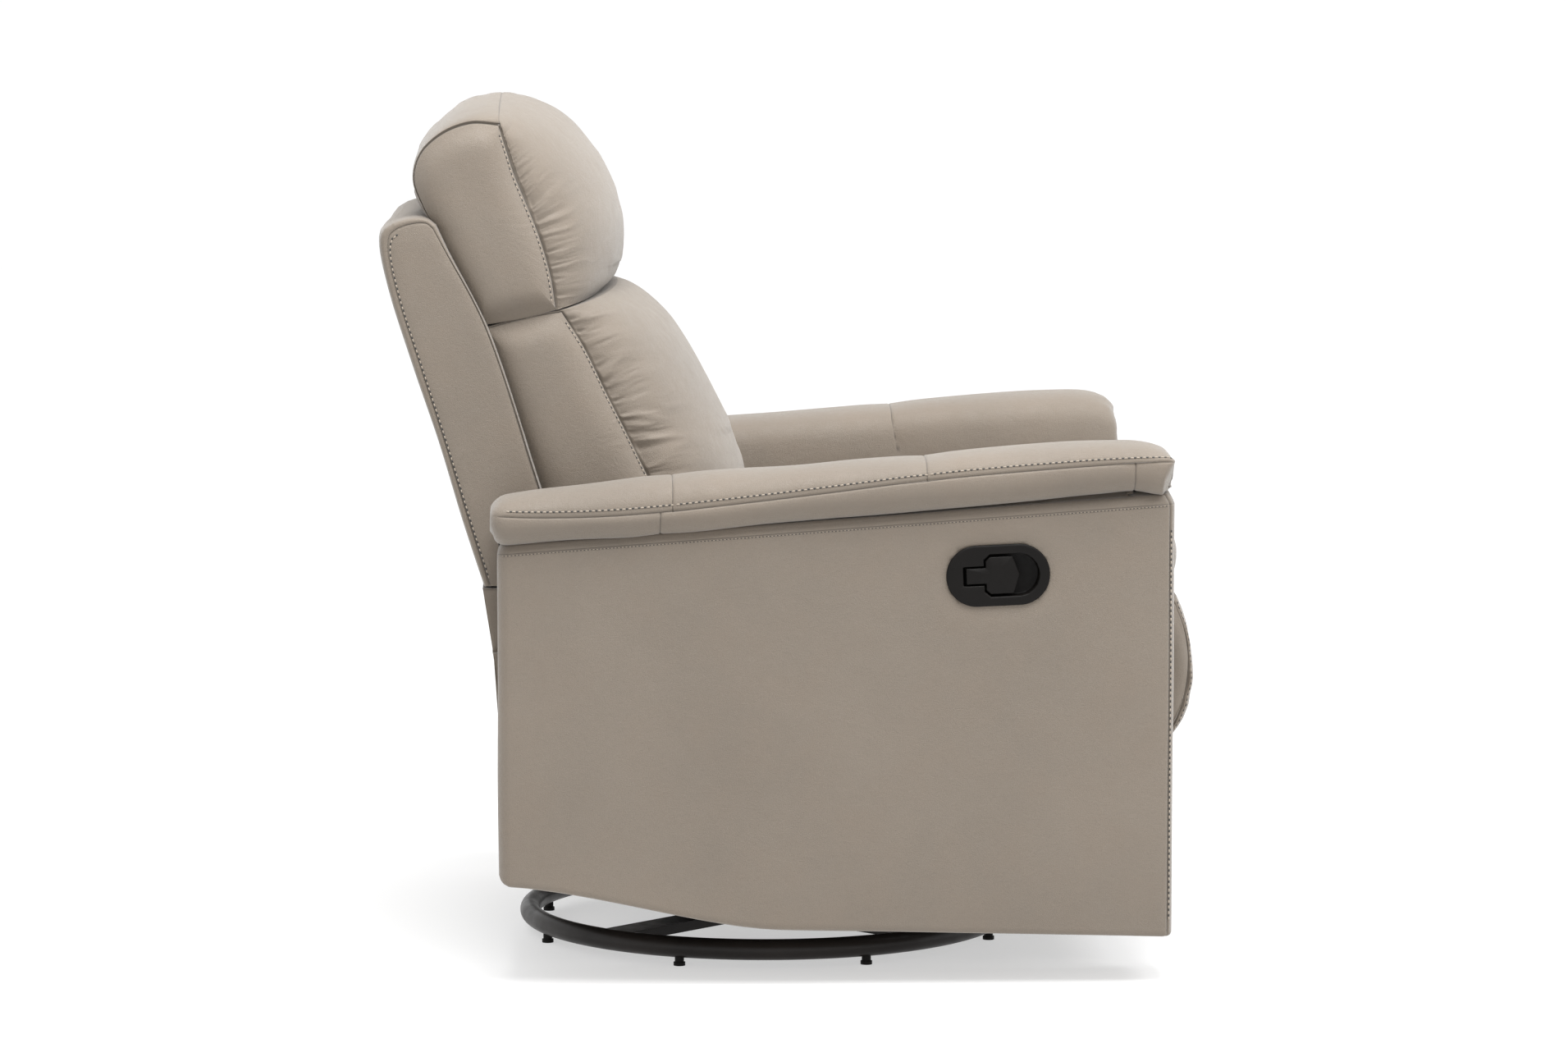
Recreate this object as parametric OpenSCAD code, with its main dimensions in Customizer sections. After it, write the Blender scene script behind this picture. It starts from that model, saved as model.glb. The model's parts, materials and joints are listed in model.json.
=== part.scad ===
// Swivel glider recliner for a nursery: leather-covered chair on a steel ring base.
// The chair faces -Y, +Z is up, and the floor is at z = 0.
// Shapes are drawn with the swivel axis at y = 0; placed() moves them into the part's frame.

/* [Overall] */
// Outer width across the two side panels
body_w = 810; // [780:5:840]
// Clear width between the arms
seat_w = 604; // [590:2:606]
// Front of the arms, measured forward from the swivel axis
arm_front = 454; // [440:2:460]
// Back of the arms, measured rearward from the swivel axis
arm_rear = 322; // [314:2:326]

/* [Base] */
// Radius of the floor ring, to the middle of its tube
ring_r = 289.5; // [275:0.5:300]
// Diameter of the ring's tube
ring_tube_d = 25; // [20:1:30]
// Height of the middle of the ring's tube
ring_z = 22; // [20:1:24]
// Number of plastic glides under the ring
glide_count = 8; // [6:2:12]
// Width of each cross arm
cross_arm_w = 40; // [30:2:50]

/* [Glide mechanism] */
// Distance between the pivots of a swing link
swing_link_l = 140; // [130:5:145]
// Distance of the swing links in front of and behind the swivel axis
swing_y = 110; // [105:5:120]
// Height of the upper swing pivots
swing_top_z = 215; // [205:5:220]
// Radius of the swing pivot pins
swing_pin_r = 6; // [5:0.5:7]

/* [Arms] */
// Thickness of the outer side panels
outer_panel_t = 12; // [8:1:15]
// How far the padded arm rest stands out past the side panel
pad_overhang = 15; // [10:1:20]
// Height of the side panel at its front edge
panel_front_z = 571; // [560:1:580]
// Height of the side panel at its rear edge
panel_rear_z = 515; // [505:1:525]

/* [Seat] */
// Height of the seat's front edge
seat_front_z = 526; // [515:1:535]
// Height of the seat where it meets the back
seat_rear_z = 470; // [464:1:474]
// Number of sinuous springs under the seat
seat_spring_count = 5; // [4:1:6]

/* [Back] */
// Half of the width over the padded sides of the back
back_half_w = 291; // [285:1:293]
// Number of sinuous springs in the back
back_spring_count = 4; // [3:1:5]

/* [Footrest] */
// Distance between the end pivots of a footrest link
tong_l = 200; // [190:5:210]
// Angle of each closed link from the line the footrest moves along
tong_closed = 76; // [72:1:78]
// Upward tilt of the line the footrest moves along
tong_tilt = 5; // [0:1:8]
// Half of the width of the footrest pad
footrest_half_w = 294; // [285:1:296]

/* [Release lever] */
// Length of the handle cup's rim
cup_l = 120; // [110:1:130]
// Height of the handle cup's rim
cup_h = 71; // [65:1:76]
// Height of the middle of the handle cup
cup_z = 479; // [470:1:485]
// Distance of the handle cup in front of the swivel axis
cup_y = 255; // [245:1:265]
// Upward tilt of the cup's front end
cup_tilt = 2.5; // [0:0.5:5]

/* [Hidden] */
$fn = 64;

LEATHER = "#a59a8d";
BLACK_STEEL = "#1f1b19";
STEEL = "#8f9296";
PLASTIC = "#151515";
WOOD = "#c39a63";
BOARD = "#b08a5c";

// Distance from the middle of the part's box to the swivel axis
swivel_y = 22;

body_half_w = body_w / 2;
seat_half_w = seat_w / 2;

// Base stack, from the floor up
tube_r = ring_tube_d / 2;
glide_r = 7;
cross_arm_z = 15;
cross_arm_h = 12;
cross_arm_t = 3;
hub_z = cross_arm_z + cross_arm_h;
hub_t = 3;
hub_r = 105;
race_z = hub_z + hub_t;
race_h = 3;
race_gap = 1;
race_r = 75;
race_half_w = 12;
ball_r = 3;
ball_count = 14;
ball_clearance = 0.3;
upper_race_z = race_z + race_h + race_gap;
plate_z = upper_race_z + race_h;
plate_t = 4;
plate_half_w = 125;
swivel_pin_r = 8;
running_gap = 0.05;
loose_gap = 0.4;

// Glide base above the turntable plate
riser_x = 100;
riser_w = 30;
riser_z = plate_z + plate_t;
riser_h = 60 - riser_z;
channel_z = 60;
channel_h = 20;
channel_w = 30;
post_x = 213;
post_t = 5;
link_x = post_x + post_t + 1;
link_t = 4;
hanger_x = link_x + link_t + 1;
hanger_t = 4;
link_w = 28;
swing_low_z = swing_top_z - swing_link_l;

// Rails and plates that carry the seat and the footrest
rail_z = 235;
rail_h = 30;
side_plate_x = 240;
side_plate_t = 4;
side_plate_top = 384;

// Footrest links lie in five planes beside the side plates
plane_a = 250;
plane_b = 256;
plane_front = 262;
plane_bracket = 268;
plane_control = 274;
tong_t = 4;
tong_w = 20;
rivet_r = 4;
rivet_head_r = 7;
rivet_head_t = 1.2;
drive_tube_r = 9;
slot_end = 20;
control_slack = 1.5;

// A point in the side view is [y, z], and the chair's front is towards -y
function forward(a) = [-cos(a), sin(a)];
function forward_normal(a) = [sin(a), cos(a)];
function turn_of(p, q) = atan2(q[1] - p[1], q[0] - p[0]);

pad_pivot = [-415, 300];
tong_reach = 2 * tong_l * cos(tong_closed);
tong_root = pad_pivot - tong_reach * forward(tong_tilt);
dir_a = forward(tong_tilt - tong_closed);
dir_b = forward(tong_tilt + tong_closed);
tong_mid = tong_root + dir_a * tong_l / 2;
tong_a_end = tong_root + dir_a * tong_l;
tong_b_end = tong_mid + dir_b * tong_l / 2;
tong_b_low = tong_mid - dir_b * tong_l / 2;
tong_cross = (tong_a_end + pad_pivot) / 2;
control_low = tong_cross - 38 * forward_normal(tong_tilt - tong_closed);
control_high = pad_pivot + [25, -1];
slot_low = tong_root + tong_l * sin(tong_closed) * [-sin(tong_tilt), -cos(tong_tilt)];
slot_high = tong_root + tong_l * sin(slot_end) * [-sin(tong_tilt), -cos(tong_tilt)];

// Footrest pad and its board
board_y = -438;
board_t = 12;
pad_back_y = board_y - board_t;
pad_low_z = 114;
pad_high_z = 430;
pad_front_y = -503;

// Seat
seat_rail_x = 200;
seat_rail_w = 32;
seat_rail_z = 385;
seat_rail_h = 25;
seat_rail_front = -395;
seat_rail_rear = 165;
seat_cross_w = 25;
seat_cross_h = 42;
seat_rear_cross_y = 90;
seat_spring_l = 470;
seat_spring_pitch = 78;
seat_spring_z = 412;
spring_t = 4;
seat_front_y = -479;
seat_rear_y = 62;
back_pivot = [150, 420];
hinge_plate_x = 272;
hinge_plate_t = 4.5;
back_pin_r = 6;

// Side panel outline: the lower edge rises from the front to the rear corner
panel_low_front = 55;
panel_low_slope = 0.026;
panel_low_rise = 43;
panel_rise_start = -10;
function smooth(t) = t <= 0 ? 0 : t >= 1 ? 1 : t * t * (3 - 2 * t);
function panel_low(y) = panel_low_front + panel_low_slope * (y + arm_front)
    + panel_low_rise * smooth((y - panel_rise_start) / (arm_rear - panel_rise_start));
function panel_high(y) = panel_rear_z
    + (panel_front_z - panel_rear_z) * (arm_rear - y) / (arm_rear + arm_front);

// ---- helpers ----

module placed() translate([0, swivel_y, 0]) children();

module both_sides() {
    children();
    mirror([1, 0, 0]) children();
}

// A flat plate: its outline is drawn in the side view, and it is thick along x from x0
module side_view_plate(x0, thickness)
    translate([x0, 0, 0]) rotate([90, 0, 90]) linear_extrude(thickness) children();

// A round pin along x
module cross_pin(p, x0, x1, r)
    translate([x0, p[0], p[1]]) rotate([0, 90, 0]) cylinder(h = x1 - x0, r = r);

module rivet(p, x0, x1) {
    cross_pin(p, x0, x1, rivet_r);
    cross_pin(p, x0 - rivet_head_t, x0, rivet_head_r);
    cross_pin(p, x1, x1 + rivet_head_t, rivet_head_r);
}

// Outline of a bar with round ends and corners, through a list of points
// Its sides lie just inside its ends, so that no edge only touches a circle
module bar_outline(points, w) {
    side_inset = 0.05;
    for (p = points) translate(p) circle(d = w);
    for (i = [0 : len(points) - 2])
        translate(points[i]) rotate(turn_of(points[i], points[i + 1]))
            translate([0, side_inset - w / 2])
                square([norm(points[i + 1] - points[i]), w - 2 * side_inset]);
}

module holes(points, r) for (p = points) translate(p) circle(r = r);

module box_beam(size, wall) difference() {
    cube(size, center = true);
    cube([size[0] + 2, size[1] - 2 * wall, size[2] - 2 * wall], center = true);
}

// Outline of a flat sinuous spring: half rings joined end to end along +x
module sinuous_outline(length, loops, half_w, w) {
    pitch = length / loops;
    r = pitch / 2;
    straight = half_w - r;
    for (i = [0 : loops - 1]) {
        up = i % 2 == 0 ? 1 : -1;
        translate([(i + 0.5) * pitch, up * straight])
            intersection() {
                difference() {
                    circle(r = r + w / 2);
                    circle(r = r - w / 2);
                }
                translate([-pitch, up > 0 ? 0 : -pitch]) square([2 * pitch, pitch]);
            }
    }
    for (i = [1 : loops - 1])
        translate([i * pitch - w / 2, -straight]) square([w, 2 * straight]);
    for (end = [0, length])
        translate([end - w / 2, end == 0 || loops % 2 == 1 ? 0 : -straight])
            square([w, straight]);
}

// ---- base on the floor ----

module ring_solid(extra = 0)
    translate([0, 0, ring_z]) rotate_extrude($fn = 96) translate([ring_r, 0])
        circle(r = tube_r + extra);

module base_ring() color(BLACK_STEEL) placed() ring_solid();

module ring_glides() color(PLASTIC) placed()
    difference() {
        for (i = [0 : glide_count - 1])
            rotate(360 / glide_count * (i + 0.5)) translate([ring_r, 0, 0]) {
                cylinder(h = 4, r = glide_r);
                cylinder(h = ring_z - tube_r + 3, r = glide_r - 1.5);
            }
        ring_solid();
    }

module cross_arm() difference() {
    translate([-ring_r, -cross_arm_w / 2, cross_arm_z]) cube([2 * ring_r, cross_arm_w, cross_arm_h]);
    translate([-ring_r - 1, -cross_arm_w / 2 + cross_arm_t, cross_arm_z - 1])
        cube([2 * ring_r + 2, cross_arm_w - 2 * cross_arm_t, cross_arm_h - cross_arm_t + 1]);
}

module cross_arms() color(BLACK_STEEL) placed()
    difference() {
        for (a = [45, 135]) rotate(a) cross_arm();
        ring_solid();
        translate([0, 0, cross_arm_z - 1]) cylinder(h = cross_arm_h - cross_arm_t + 1, r = 25);
        translate([0, 0, cross_arm_z - 1]) cylinder(h = cross_arm_h + 2, r = swivel_pin_r + running_gap);
    }

module hub_plate() color(BLACK_STEEL) placed()
    translate([0, 0, hub_z]) difference() {
        cylinder(h = hub_t, r = hub_r);
        translate([0, 0, -1]) cylinder(h = hub_t + 2, r = swivel_pin_r + running_gap);
        for (a = [45 : 90 : 315]) rotate(a) translate([48, 0, -1]) cylinder(h = hub_t + 2, r = 4.5);
    }

module race(z, groove_z) difference() {
    translate([0, 0, z]) difference() {
        cylinder(h = race_h, r = race_r + race_half_w);
        translate([0, 0, -1]) cylinder(h = race_h + 2, r = race_r - race_half_w);
    }
    translate([0, 0, groove_z]) rotate_extrude() translate([race_r, 0]) circle(r = ball_r + ball_clearance);
}

ball_z = race_z + race_h + race_gap / 2;

module bearing_lower_race() color(STEEL) placed() race(race_z, ball_z);

module bearing_balls() color(STEEL) placed()
    for (i = [0 : ball_count - 1])
        rotate(360 / ball_count * i) translate([race_r, 0, ball_z]) sphere(r = ball_r);

module bearing_upper_race() color(STEEL) placed() race(upper_race_z, ball_z);

// ---- turntable and glide base ----

module turntable_plate() color(BLACK_STEEL) placed() {
    difference() {
        translate([-plate_half_w, -plate_half_w, plate_z])
            cube([2 * plate_half_w, 2 * plate_half_w, plate_t]);
        translate([0, 0, plate_z - 1]) cylinder(h = plate_t + 2, r = swivel_pin_r);
    }
    both_sides()
        translate([riser_x - riser_w / 2, -swing_y - channel_w / 2, riser_z])
            cube([riser_w, 2 * swing_y + channel_w, riser_h]);
}

module swivel_pin() color(STEEL) placed() {
    pin_low_z = cross_arm_z + 5;
    head_z = cross_arm_z + 1;
    head_h = cross_arm_h - cross_arm_t - 1.4;
    nut_z = plate_z + plate_t;
    translate([0, 0, pin_low_z]) cylinder(h = nut_z + 8 - pin_low_z, r = swivel_pin_r);
    translate([0, 0, head_z]) cylinder(h = head_h, r = 14);
    translate([0, 0, nut_z]) cylinder(h = 7, d = 26, $fn = 6);
}

module cross_channels() color(BLACK_STEEL) placed()
    for (side = [-1, 1])
        translate([0, side * swing_y, channel_z + channel_h / 2])
            box_beam([2 * (post_x + post_t), channel_w, channel_h], 2.5);

module link_posts() color(BLACK_STEEL) placed()
    both_sides()
        for (side = [-1, 1])
            side_view_plate(post_x, post_t)
                difference() {
                    union() {
                        translate([side * swing_y, swing_top_z]) circle(r = 15);
                        translate([side * swing_y - 15, channel_z + channel_h])
                            square([30, swing_top_z - channel_z - channel_h]);
                    }
                    translate([side * swing_y, swing_top_z]) circle(r = swing_pin_r);
                }

module post_pins() color(STEEL) placed()
    both_sides()
        for (side = [-1, 1]) {
            cross_pin([side * swing_y, swing_top_z], post_x, link_x + link_t + 0.5, swing_pin_r);
            cross_pin([side * swing_y, swing_top_z], post_x - 3, post_x, 9);
        }

module swing_link(y, low_gap)
    both_sides()
        side_view_plate(link_x, link_t)
            difference() {
                bar_outline([[y, swing_top_z], [y, swing_low_z]], link_w);
                translate([y, swing_top_z]) circle(r = swing_pin_r + running_gap);
                translate([y, swing_low_z]) circle(r = swing_pin_r + low_gap);
            }

module front_swing_links() color(STEEL) placed() swing_link(-swing_y, running_gap);

module rear_swing_links() color(STEEL) placed() swing_link(swing_y, loose_gap);

// ---- chassis that hangs on the swing links ----

module hanger_plates() color(BLACK_STEEL) placed()
    both_sides()
        for (side = [-1, 1])
            side_view_plate(hanger_x, hanger_t)
                difference() {
                    union() {
                        translate([side * swing_y, swing_low_z]) circle(r = 15);
                        translate([side * swing_y - 15, swing_low_z])
                            square([30, rail_z - swing_low_z]);
                    }
                    translate([side * swing_y, swing_low_z]) circle(r = swing_pin_r);
                }

module hanger_pins() color(STEEL) placed()
    both_sides()
        for (side = [-1, 1]) {
            cross_pin([side * swing_y, swing_low_z], link_x - 0.4, hanger_x + hanger_t, swing_pin_r);
            cross_pin([side * swing_y, swing_low_z], hanger_x + hanger_t, hanger_x + hanger_t + 3, 9);
        }

module cross_rails() color(BLACK_STEEL) placed()
    for (side = [-1, 1])
        translate([0, side * swing_y, rail_z + rail_h / 2])
            box_beam([2 * seat_half_w, rail_h, rail_h], 2.5);

side_plate_points = [
    [175, 228], [175, side_plate_top], [-335, side_plate_top], [-350, 330], [-350, 96],
    [-340, 82], [-318, 82], [-306, 96], [-300, 228]
];

module side_plate()
    side_view_plate(side_plate_x, side_plate_t)
        difference() {
            polygon(side_plate_points);
            for (side = [-1, 1])
                translate([side * swing_y - rail_h / 2, rail_z]) square(rail_h);
            translate(tong_root) circle(r = drive_tube_r + running_gap);
            bar_outline([slot_low, slot_high], 2 * rivet_r + 1);
            for (y = [-230, -90, 0, 90]) translate([y, 310]) circle(r = 22);
        }

module side_plate_left() color(BLACK_STEEL) placed() side_plate();

module side_plate_right() color(BLACK_STEEL) placed() mirror([1, 0, 0]) side_plate();

guide_front = -330;
guide_l = 495;
guide_t = 4;

module seat_guides() color(STEEL) placed()
    both_sides() {
        translate([seat_rail_x, guide_front, side_plate_top - guide_t])
            cube([side_plate_x - seat_rail_x, guide_l, guide_t]);
        translate([side_plate_x - guide_t, guide_front, side_plate_top - guide_t - 20])
            cube([guide_t, guide_l, 20]);
    }

// ---- arms ----

outer_outline = concat(
    [[arm_rear, panel_rear_z], [-arm_front, panel_front_z]],
    [for (i = [0 : 24])
        let (y = -arm_front + (arm_rear - 10 + arm_front) * i / 24)
        [y, panel_low(y)]],
    [for (a = [-60 : 30 : 0])
        [arm_rear - 12 + 10 * cos(a), panel_low(arm_rear) + 14 + 10 * sin(a)]]
);

module arm_outer()
    side_view_plate(body_half_w - outer_panel_t, outer_panel_t) polygon(outer_outline);

module arm_outer_left() color(LEATHER) placed() arm_outer();

module cup_frame()
    translate([-body_half_w, -cup_y, cup_z]) rotate([-cup_tilt, 0, 0]) children();

// A slot shape across the side panel, drawn from its middle; it is deep along +x
module cup_stadium(length, height, x0, depth)
    side_view_plate(x0, depth)
        bar_outline([[-(length - height) / 2, 0], [(length - height) / 2, 0]], height);

cup_body_l = cup_l - 10;
cup_body_h = cup_h - 9;
cup_depth = 25;

module arm_outer_right() color(LEATHER) placed()
    difference() {
        mirror([1, 0, 0]) arm_outer();
        cup_frame() cup_stadium(cup_body_l, cup_body_h, -1, outer_panel_t + 2);
    }

inner_panel_t = 8;
inner_outline = concat(
    [[arm_rear - 8, panel_rear_z], [-arm_front, panel_front_z - 2]],
    [for (i = [0 : 3])
        let (y = -arm_front + (arm_rear - 8 + arm_front) * i / 3)
        [y, panel_low(y) + 3]]
);

module arm_inner()
    side_view_plate(seat_half_w, inner_panel_t) polygon(inner_outline);

module arm_inner_left() color(LEATHER) placed() arm_inner();

cable_y = -225;
cable_low_z = 300;
cable_r = 2.5;
cable_bend = 20;
cable_drop_x = -356;

module arm_inner_right() color(LEATHER) placed()
    difference() {
        mirror([1, 0, 0]) arm_inner();
        cross_pin([cable_y, cable_low_z], -seat_half_w - inner_panel_t - 1, -seat_half_w + 1, 5);
    }

frame_x = seat_half_w + inner_panel_t + 1;
frame_w = body_half_w - outer_panel_t - 1 - frame_x;
board_w = 25;

frame_front = -arm_front + 7;
frame_rear = arm_rear - 9;
frame_low_z = 72;
frame_rail_z = 132;
frame_top_gap = 12;

module arm_frame()
    side_view_plate(frame_x, frame_w) {
        translate([frame_front, frame_low_z])
            square([board_w, panel_front_z - frame_low_z - frame_top_gap]);
        translate([frame_rear - board_w, frame_rail_z])
            square([board_w, panel_rear_z - frame_rail_z - 8]);
        translate([frame_front, frame_rail_z]) square([frame_rear - frame_front - 4, board_w]);
        polygon([
            [frame_front, panel_high(frame_front) - frame_top_gap - board_w],
            [frame_front, panel_high(frame_front) - frame_top_gap],
            [frame_rear, panel_high(frame_rear) - frame_top_gap],
            [frame_rear, panel_high(frame_rear) - frame_top_gap - board_w]
        ]);
    }

module arm_frame_left() color(WOOD) placed() arm_frame();

module arm_frame_right() color(WOOD) placed() mirror([1, 0, 0]) arm_frame();

front_panel_gap = 0.5;
front_bulge = 8;

module arm_front() {
    half = (body_half_w - seat_half_w) / 2;
    bulge_r = (half * half + front_bulge * front_bulge) / (2 * front_bulge);
    translate([seat_half_w + half, -arm_front - front_panel_gap, panel_low_front])
        linear_extrude(panel_front_z - panel_low_front)
            intersection() {
                translate([0, bulge_r - front_bulge]) circle(r = bulge_r, $fn = 720);
                translate([-half, -front_bulge]) square([2 * half, front_bulge]);
            }
}

module arm_front_left() color(LEATHER) placed() arm_front();

module arm_front_right() color(LEATHER) placed() mirror([1, 0, 0]) arm_front();

pad_low = [[318, 521], [134, 535], [-50, 551], [-239, 565], [-451, 574]];
pad_crown = [
    [-459, 611], [-428, 626], [-375, 630], [-290, 625], [-52, 605], [119, 593], [289, 573], [318, 563]
];
pad_lip = [
    [320, 528], [-449, 580], [-451, 606], [-332, 600], [-170, 590], [-49, 575], [120, 558], [320, 550]
];
pad_outline = concat(pad_low, pad_crown);
pad_inner_outline = concat([for (p = pad_low) p + [0, 8]], pad_crown);
pad_inner_x = seat_half_w - 6;
pad_inner_t = 5;
pad_drape = [[300, 455], [300, 540], [-456, 600], [-464, 570], [-452, 506], [-434, 500]];

module arm_pad() {
    hull() {
        side_view_plate(seat_half_w + 24, body_half_w - seat_half_w - 38) polygon(pad_outline);
        side_view_plate(body_half_w + 3, pad_overhang - 3) polygon(pad_lip);
        side_view_plate(pad_inner_x, pad_inner_t) translate([0, -8]) polygon(pad_inner_outline);
    }
    side_view_plate(pad_inner_x, pad_inner_t) polygon(pad_drape);
}

module arm_pad_left() color(LEATHER) placed() arm_pad();

module arm_pad_right() color(LEATHER) placed() mirror([1, 0, 0]) arm_pad();

skirt_outline = [[318, 118], [322, 330], [329, 378], [321, 378], [314, 330], [310, 118]];

module rear_skirt() color(LEATHER) placed()
    side_view_plate(-seat_half_w + 2, 2 * seat_half_w - 4)
        polygon(skirt_outline);

// ---- release handle ----

lever_stem_h = 18;
lever_paddle_h = 43;
lever_t = 4;
lever_hinge_y = 38;
lever_pin_x = 4;
lever_pin_r = 2;
lever_pin_l = 48;
paddle_rear_y = 13;
paddle_outline = [
    [paddle_rear_y, -lever_paddle_h / 2 + 6], [paddle_rear_y, lever_paddle_h / 2 - 6],
    [7, lever_paddle_h / 2], [-17, lever_paddle_h / 2], [-25, 0],
    [-17, -lever_paddle_h / 2], [7, -lever_paddle_h / 2]
];

module handle_cup() color(PLASTIC) placed()
    cup_frame()
        difference() {
            union() {
                cup_stadium(cup_l, cup_h, -3, 3);
                cup_stadium(cup_body_l, cup_body_h, 0, cup_depth);
            }
            cup_stadium(96, 49, -4, cup_depth + 1);
            translate([lever_pin_x, lever_hinge_y, 0])
                cylinder(h = lever_pin_l + 1, r = lever_pin_r + running_gap, center = true, $fn = 32);
        }

module release_lever() color(PLASTIC) placed()
    cup_frame() {
        translate([1, paddle_rear_y, -lever_stem_h / 2])
            cube([lever_t, lever_hinge_y - paddle_rear_y, lever_stem_h]);
        side_view_plate(-2, lever_t + 1) polygon(paddle_outline);
        translate([lever_pin_x, lever_hinge_y, 0]) {
            cylinder(h = lever_pin_l, r = lever_pin_r, center = true, $fn = 32);
            cylinder(h = lever_stem_h, r = 4.5, center = true, $fn = 32);
        }
    }

module cable_elbow()
    rotate_extrude(angle = 90) translate([cable_bend, 0]) circle(r = cable_r, $fn = 24);

module release_cable() color(PLASTIC) placed() {
    cup_floor_x = -body_half_w + cup_depth;
    top_z = cup_z - 9;
    cross_pin([cable_y, top_z], cup_floor_x, cable_drop_x - cable_bend, cable_r);
    translate([cable_drop_x - cable_bend, cable_y, top_z - cable_bend])
        rotate([90, 0, 0]) cable_elbow();
    translate([cable_drop_x, cable_y, cable_low_z + cable_bend])
        cylinder(h = top_z - cable_low_z - 2 * cable_bend, r = cable_r);
    translate([cable_drop_x + cable_bend, cable_y, cable_low_z + cable_bend])
        rotate([90, 0, 0]) rotate(180) cable_elbow();
    cross_pin([cable_y, cable_low_z], cable_drop_x + cable_bend, -252, cable_r);
    cross_pin([cable_y, cable_low_z], -262, -251, 4);
}

pawl_x = 245;
pawl_t = 4;
pawl_pivot = [-250, 330];
pawl_tip = [-298, 306];
pawl_tail = [-228, 340];

module latch_pawl() color(STEEL) placed()
    mirror([1, 0, 0]) {
        side_view_plate(pawl_x, pawl_t) bar_outline([pawl_tail, pawl_pivot, pawl_tip], 12);
    }

// ---- seat ----

module seat_rails() color(BLACK_STEEL) placed() {
    both_sides() {
        translate([seat_rail_x, seat_rail_front, seat_rail_z])
            cube([seat_rail_w, seat_rail_rear - seat_rail_front, seat_rail_h]);
        side_view_plate(seat_rail_x + seat_rail_w - 8, 8)
            difference() {
                bar_outline([back_pivot, back_pivot - [0, 20]], 28);
                translate(back_pivot) circle(r = back_pin_r);
                translate([back_pivot[0] - 30, seat_rail_z - 30]) square([60, 30]);
            }
    }
    translate([-seat_rail_x, seat_rail_front, seat_rail_z])
        cube([2 * seat_rail_x, seat_cross_w, seat_cross_h]);
    translate([-seat_rail_x, seat_rear_cross_y, seat_rail_z])
        cube([2 * seat_rail_x, seat_cross_w, seat_spring_z - seat_rail_z]);
}

module seat_springs() color(STEEL) placed()
    for (i = [0 : seat_spring_count - 1])
        translate([
            (i - (seat_spring_count - 1) / 2) * seat_spring_pitch,
            seat_rail_front + seat_cross_w + 2,
            seat_spring_z
        ])
            rotate(90) linear_extrude(spring_t) sinuous_outline(seat_spring_l, 20, 24, spring_t);

seat_side = [
    [seat_front_y + 12, 446], [-340, 424], [seat_rear_y, 424],
    [seat_rear_y + 4, seat_rear_z - 6], [-60, seat_rear_z + 6], [-400, seat_front_z - 10],
    [seat_front_y + 18, seat_front_z - 14], [seat_front_y + 8, 490]
];
seat_middle = [
    [seat_front_y + 8, 446], [-340, 424], [seat_rear_y, 424],
    [seat_rear_y + 4, seat_rear_z], [-60, seat_rear_z + 14], [-300, seat_front_z], [-400, seat_front_z + 2],
    [seat_front_y + 10, seat_front_z - 6], [seat_front_y, 490]
];

module seat_cushion() color(LEATHER) placed()
    hull() {
        side_view_plate(-200, 400) polygon(seat_middle);
        side_view_plate(-footrest_half_w, 2 * footrest_half_w) polygon(seat_side);
    }

module back_hinge_pins() color(STEEL) placed()
    both_sides() {
        rail_face_x = seat_rail_x + seat_rail_w - 8;
        cross_pin(back_pivot, rail_face_x, hinge_plate_x + hinge_plate_t + 0.5, back_pin_r);
        cross_pin(back_pivot, rail_face_x - 4, rail_face_x, 9);
    }

// ---- back ----

post_inner_x = 238;
post_outer_x = 271;
post_outline = [[322, 472], [430, 800], [436, 858], [410, 862], [400, 800], [294, 472]];

module back_hinge_plates() color(BLACK_STEEL) placed()
    both_sides()
        side_view_plate(hinge_plate_x, hinge_plate_t)
            difference() {
                bar_outline([back_pivot, [306, 492], [332, 572]], 28);
                translate(back_pivot) circle(r = back_pin_r + running_gap);
            }

module back_posts() color(WOOD) placed()
    both_sides()
        side_view_plate(post_inner_x, post_outer_x - post_inner_x) polygon(post_outline);

back_rail_outlines = [
    [[296, 474], [322, 474], [332, 504], [306, 504]],
    [[352, 643], [377, 643], [384, 662], [359, 662]],
    [[403, 822], [433, 822], [436, 858], [410, 860]]
];

module back_rails() color(WOOD) placed()
    for (rail = back_rail_outlines)
        side_view_plate(-post_inner_x, 2 * post_inner_x) polygon(rail);

back_lean = 18.1;
back_spring_z = 535;
back_spring_y = 322;
back_spring_pitch = 78;

module back_springs() color(STEEL) placed()
    for (i = [0 : back_spring_count - 1]) {
        rise = i * back_spring_pitch;
        translate([-post_inner_x + 2, back_spring_y + rise * tan(back_lean), back_spring_z + rise])
            rotate([90 - back_lean, 0, 0]) linear_extrude(3)
                sinuous_outline(2 * post_inner_x - 4, 18, 22, 3);
    }

rear_line = [
    [341, 453], [366, 533], [394, 625], [422, 713], [448, 798], [459, 853], [456, 871], [441, 881],
    [409, 886]
];
rear_line_inner = [
    [406, 876], [438, 871], [446, 864], [448, 852], [437, 800], [384, 629], [331, 456]
];
wing_seam = [[400, 883], [392, 869], [338, 760], [275, 579], [238, 466], [240, 457]];

module back_rear_panel() color(LEATHER) placed()
    side_view_plate(-back_half_w + 13, 2 * back_half_w - 26) polygon(concat(rear_line, rear_line_inner));

module back_wing()
    side_view_plate(back_half_w - 12.5, 12.5) polygon(concat(rear_line, wing_seam));

module back_wing_left() color(LEATHER) placed() back_wing();

module back_wing_right() color(LEATHER) placed() mirror([1, 0, 0]) back_wing();

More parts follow.
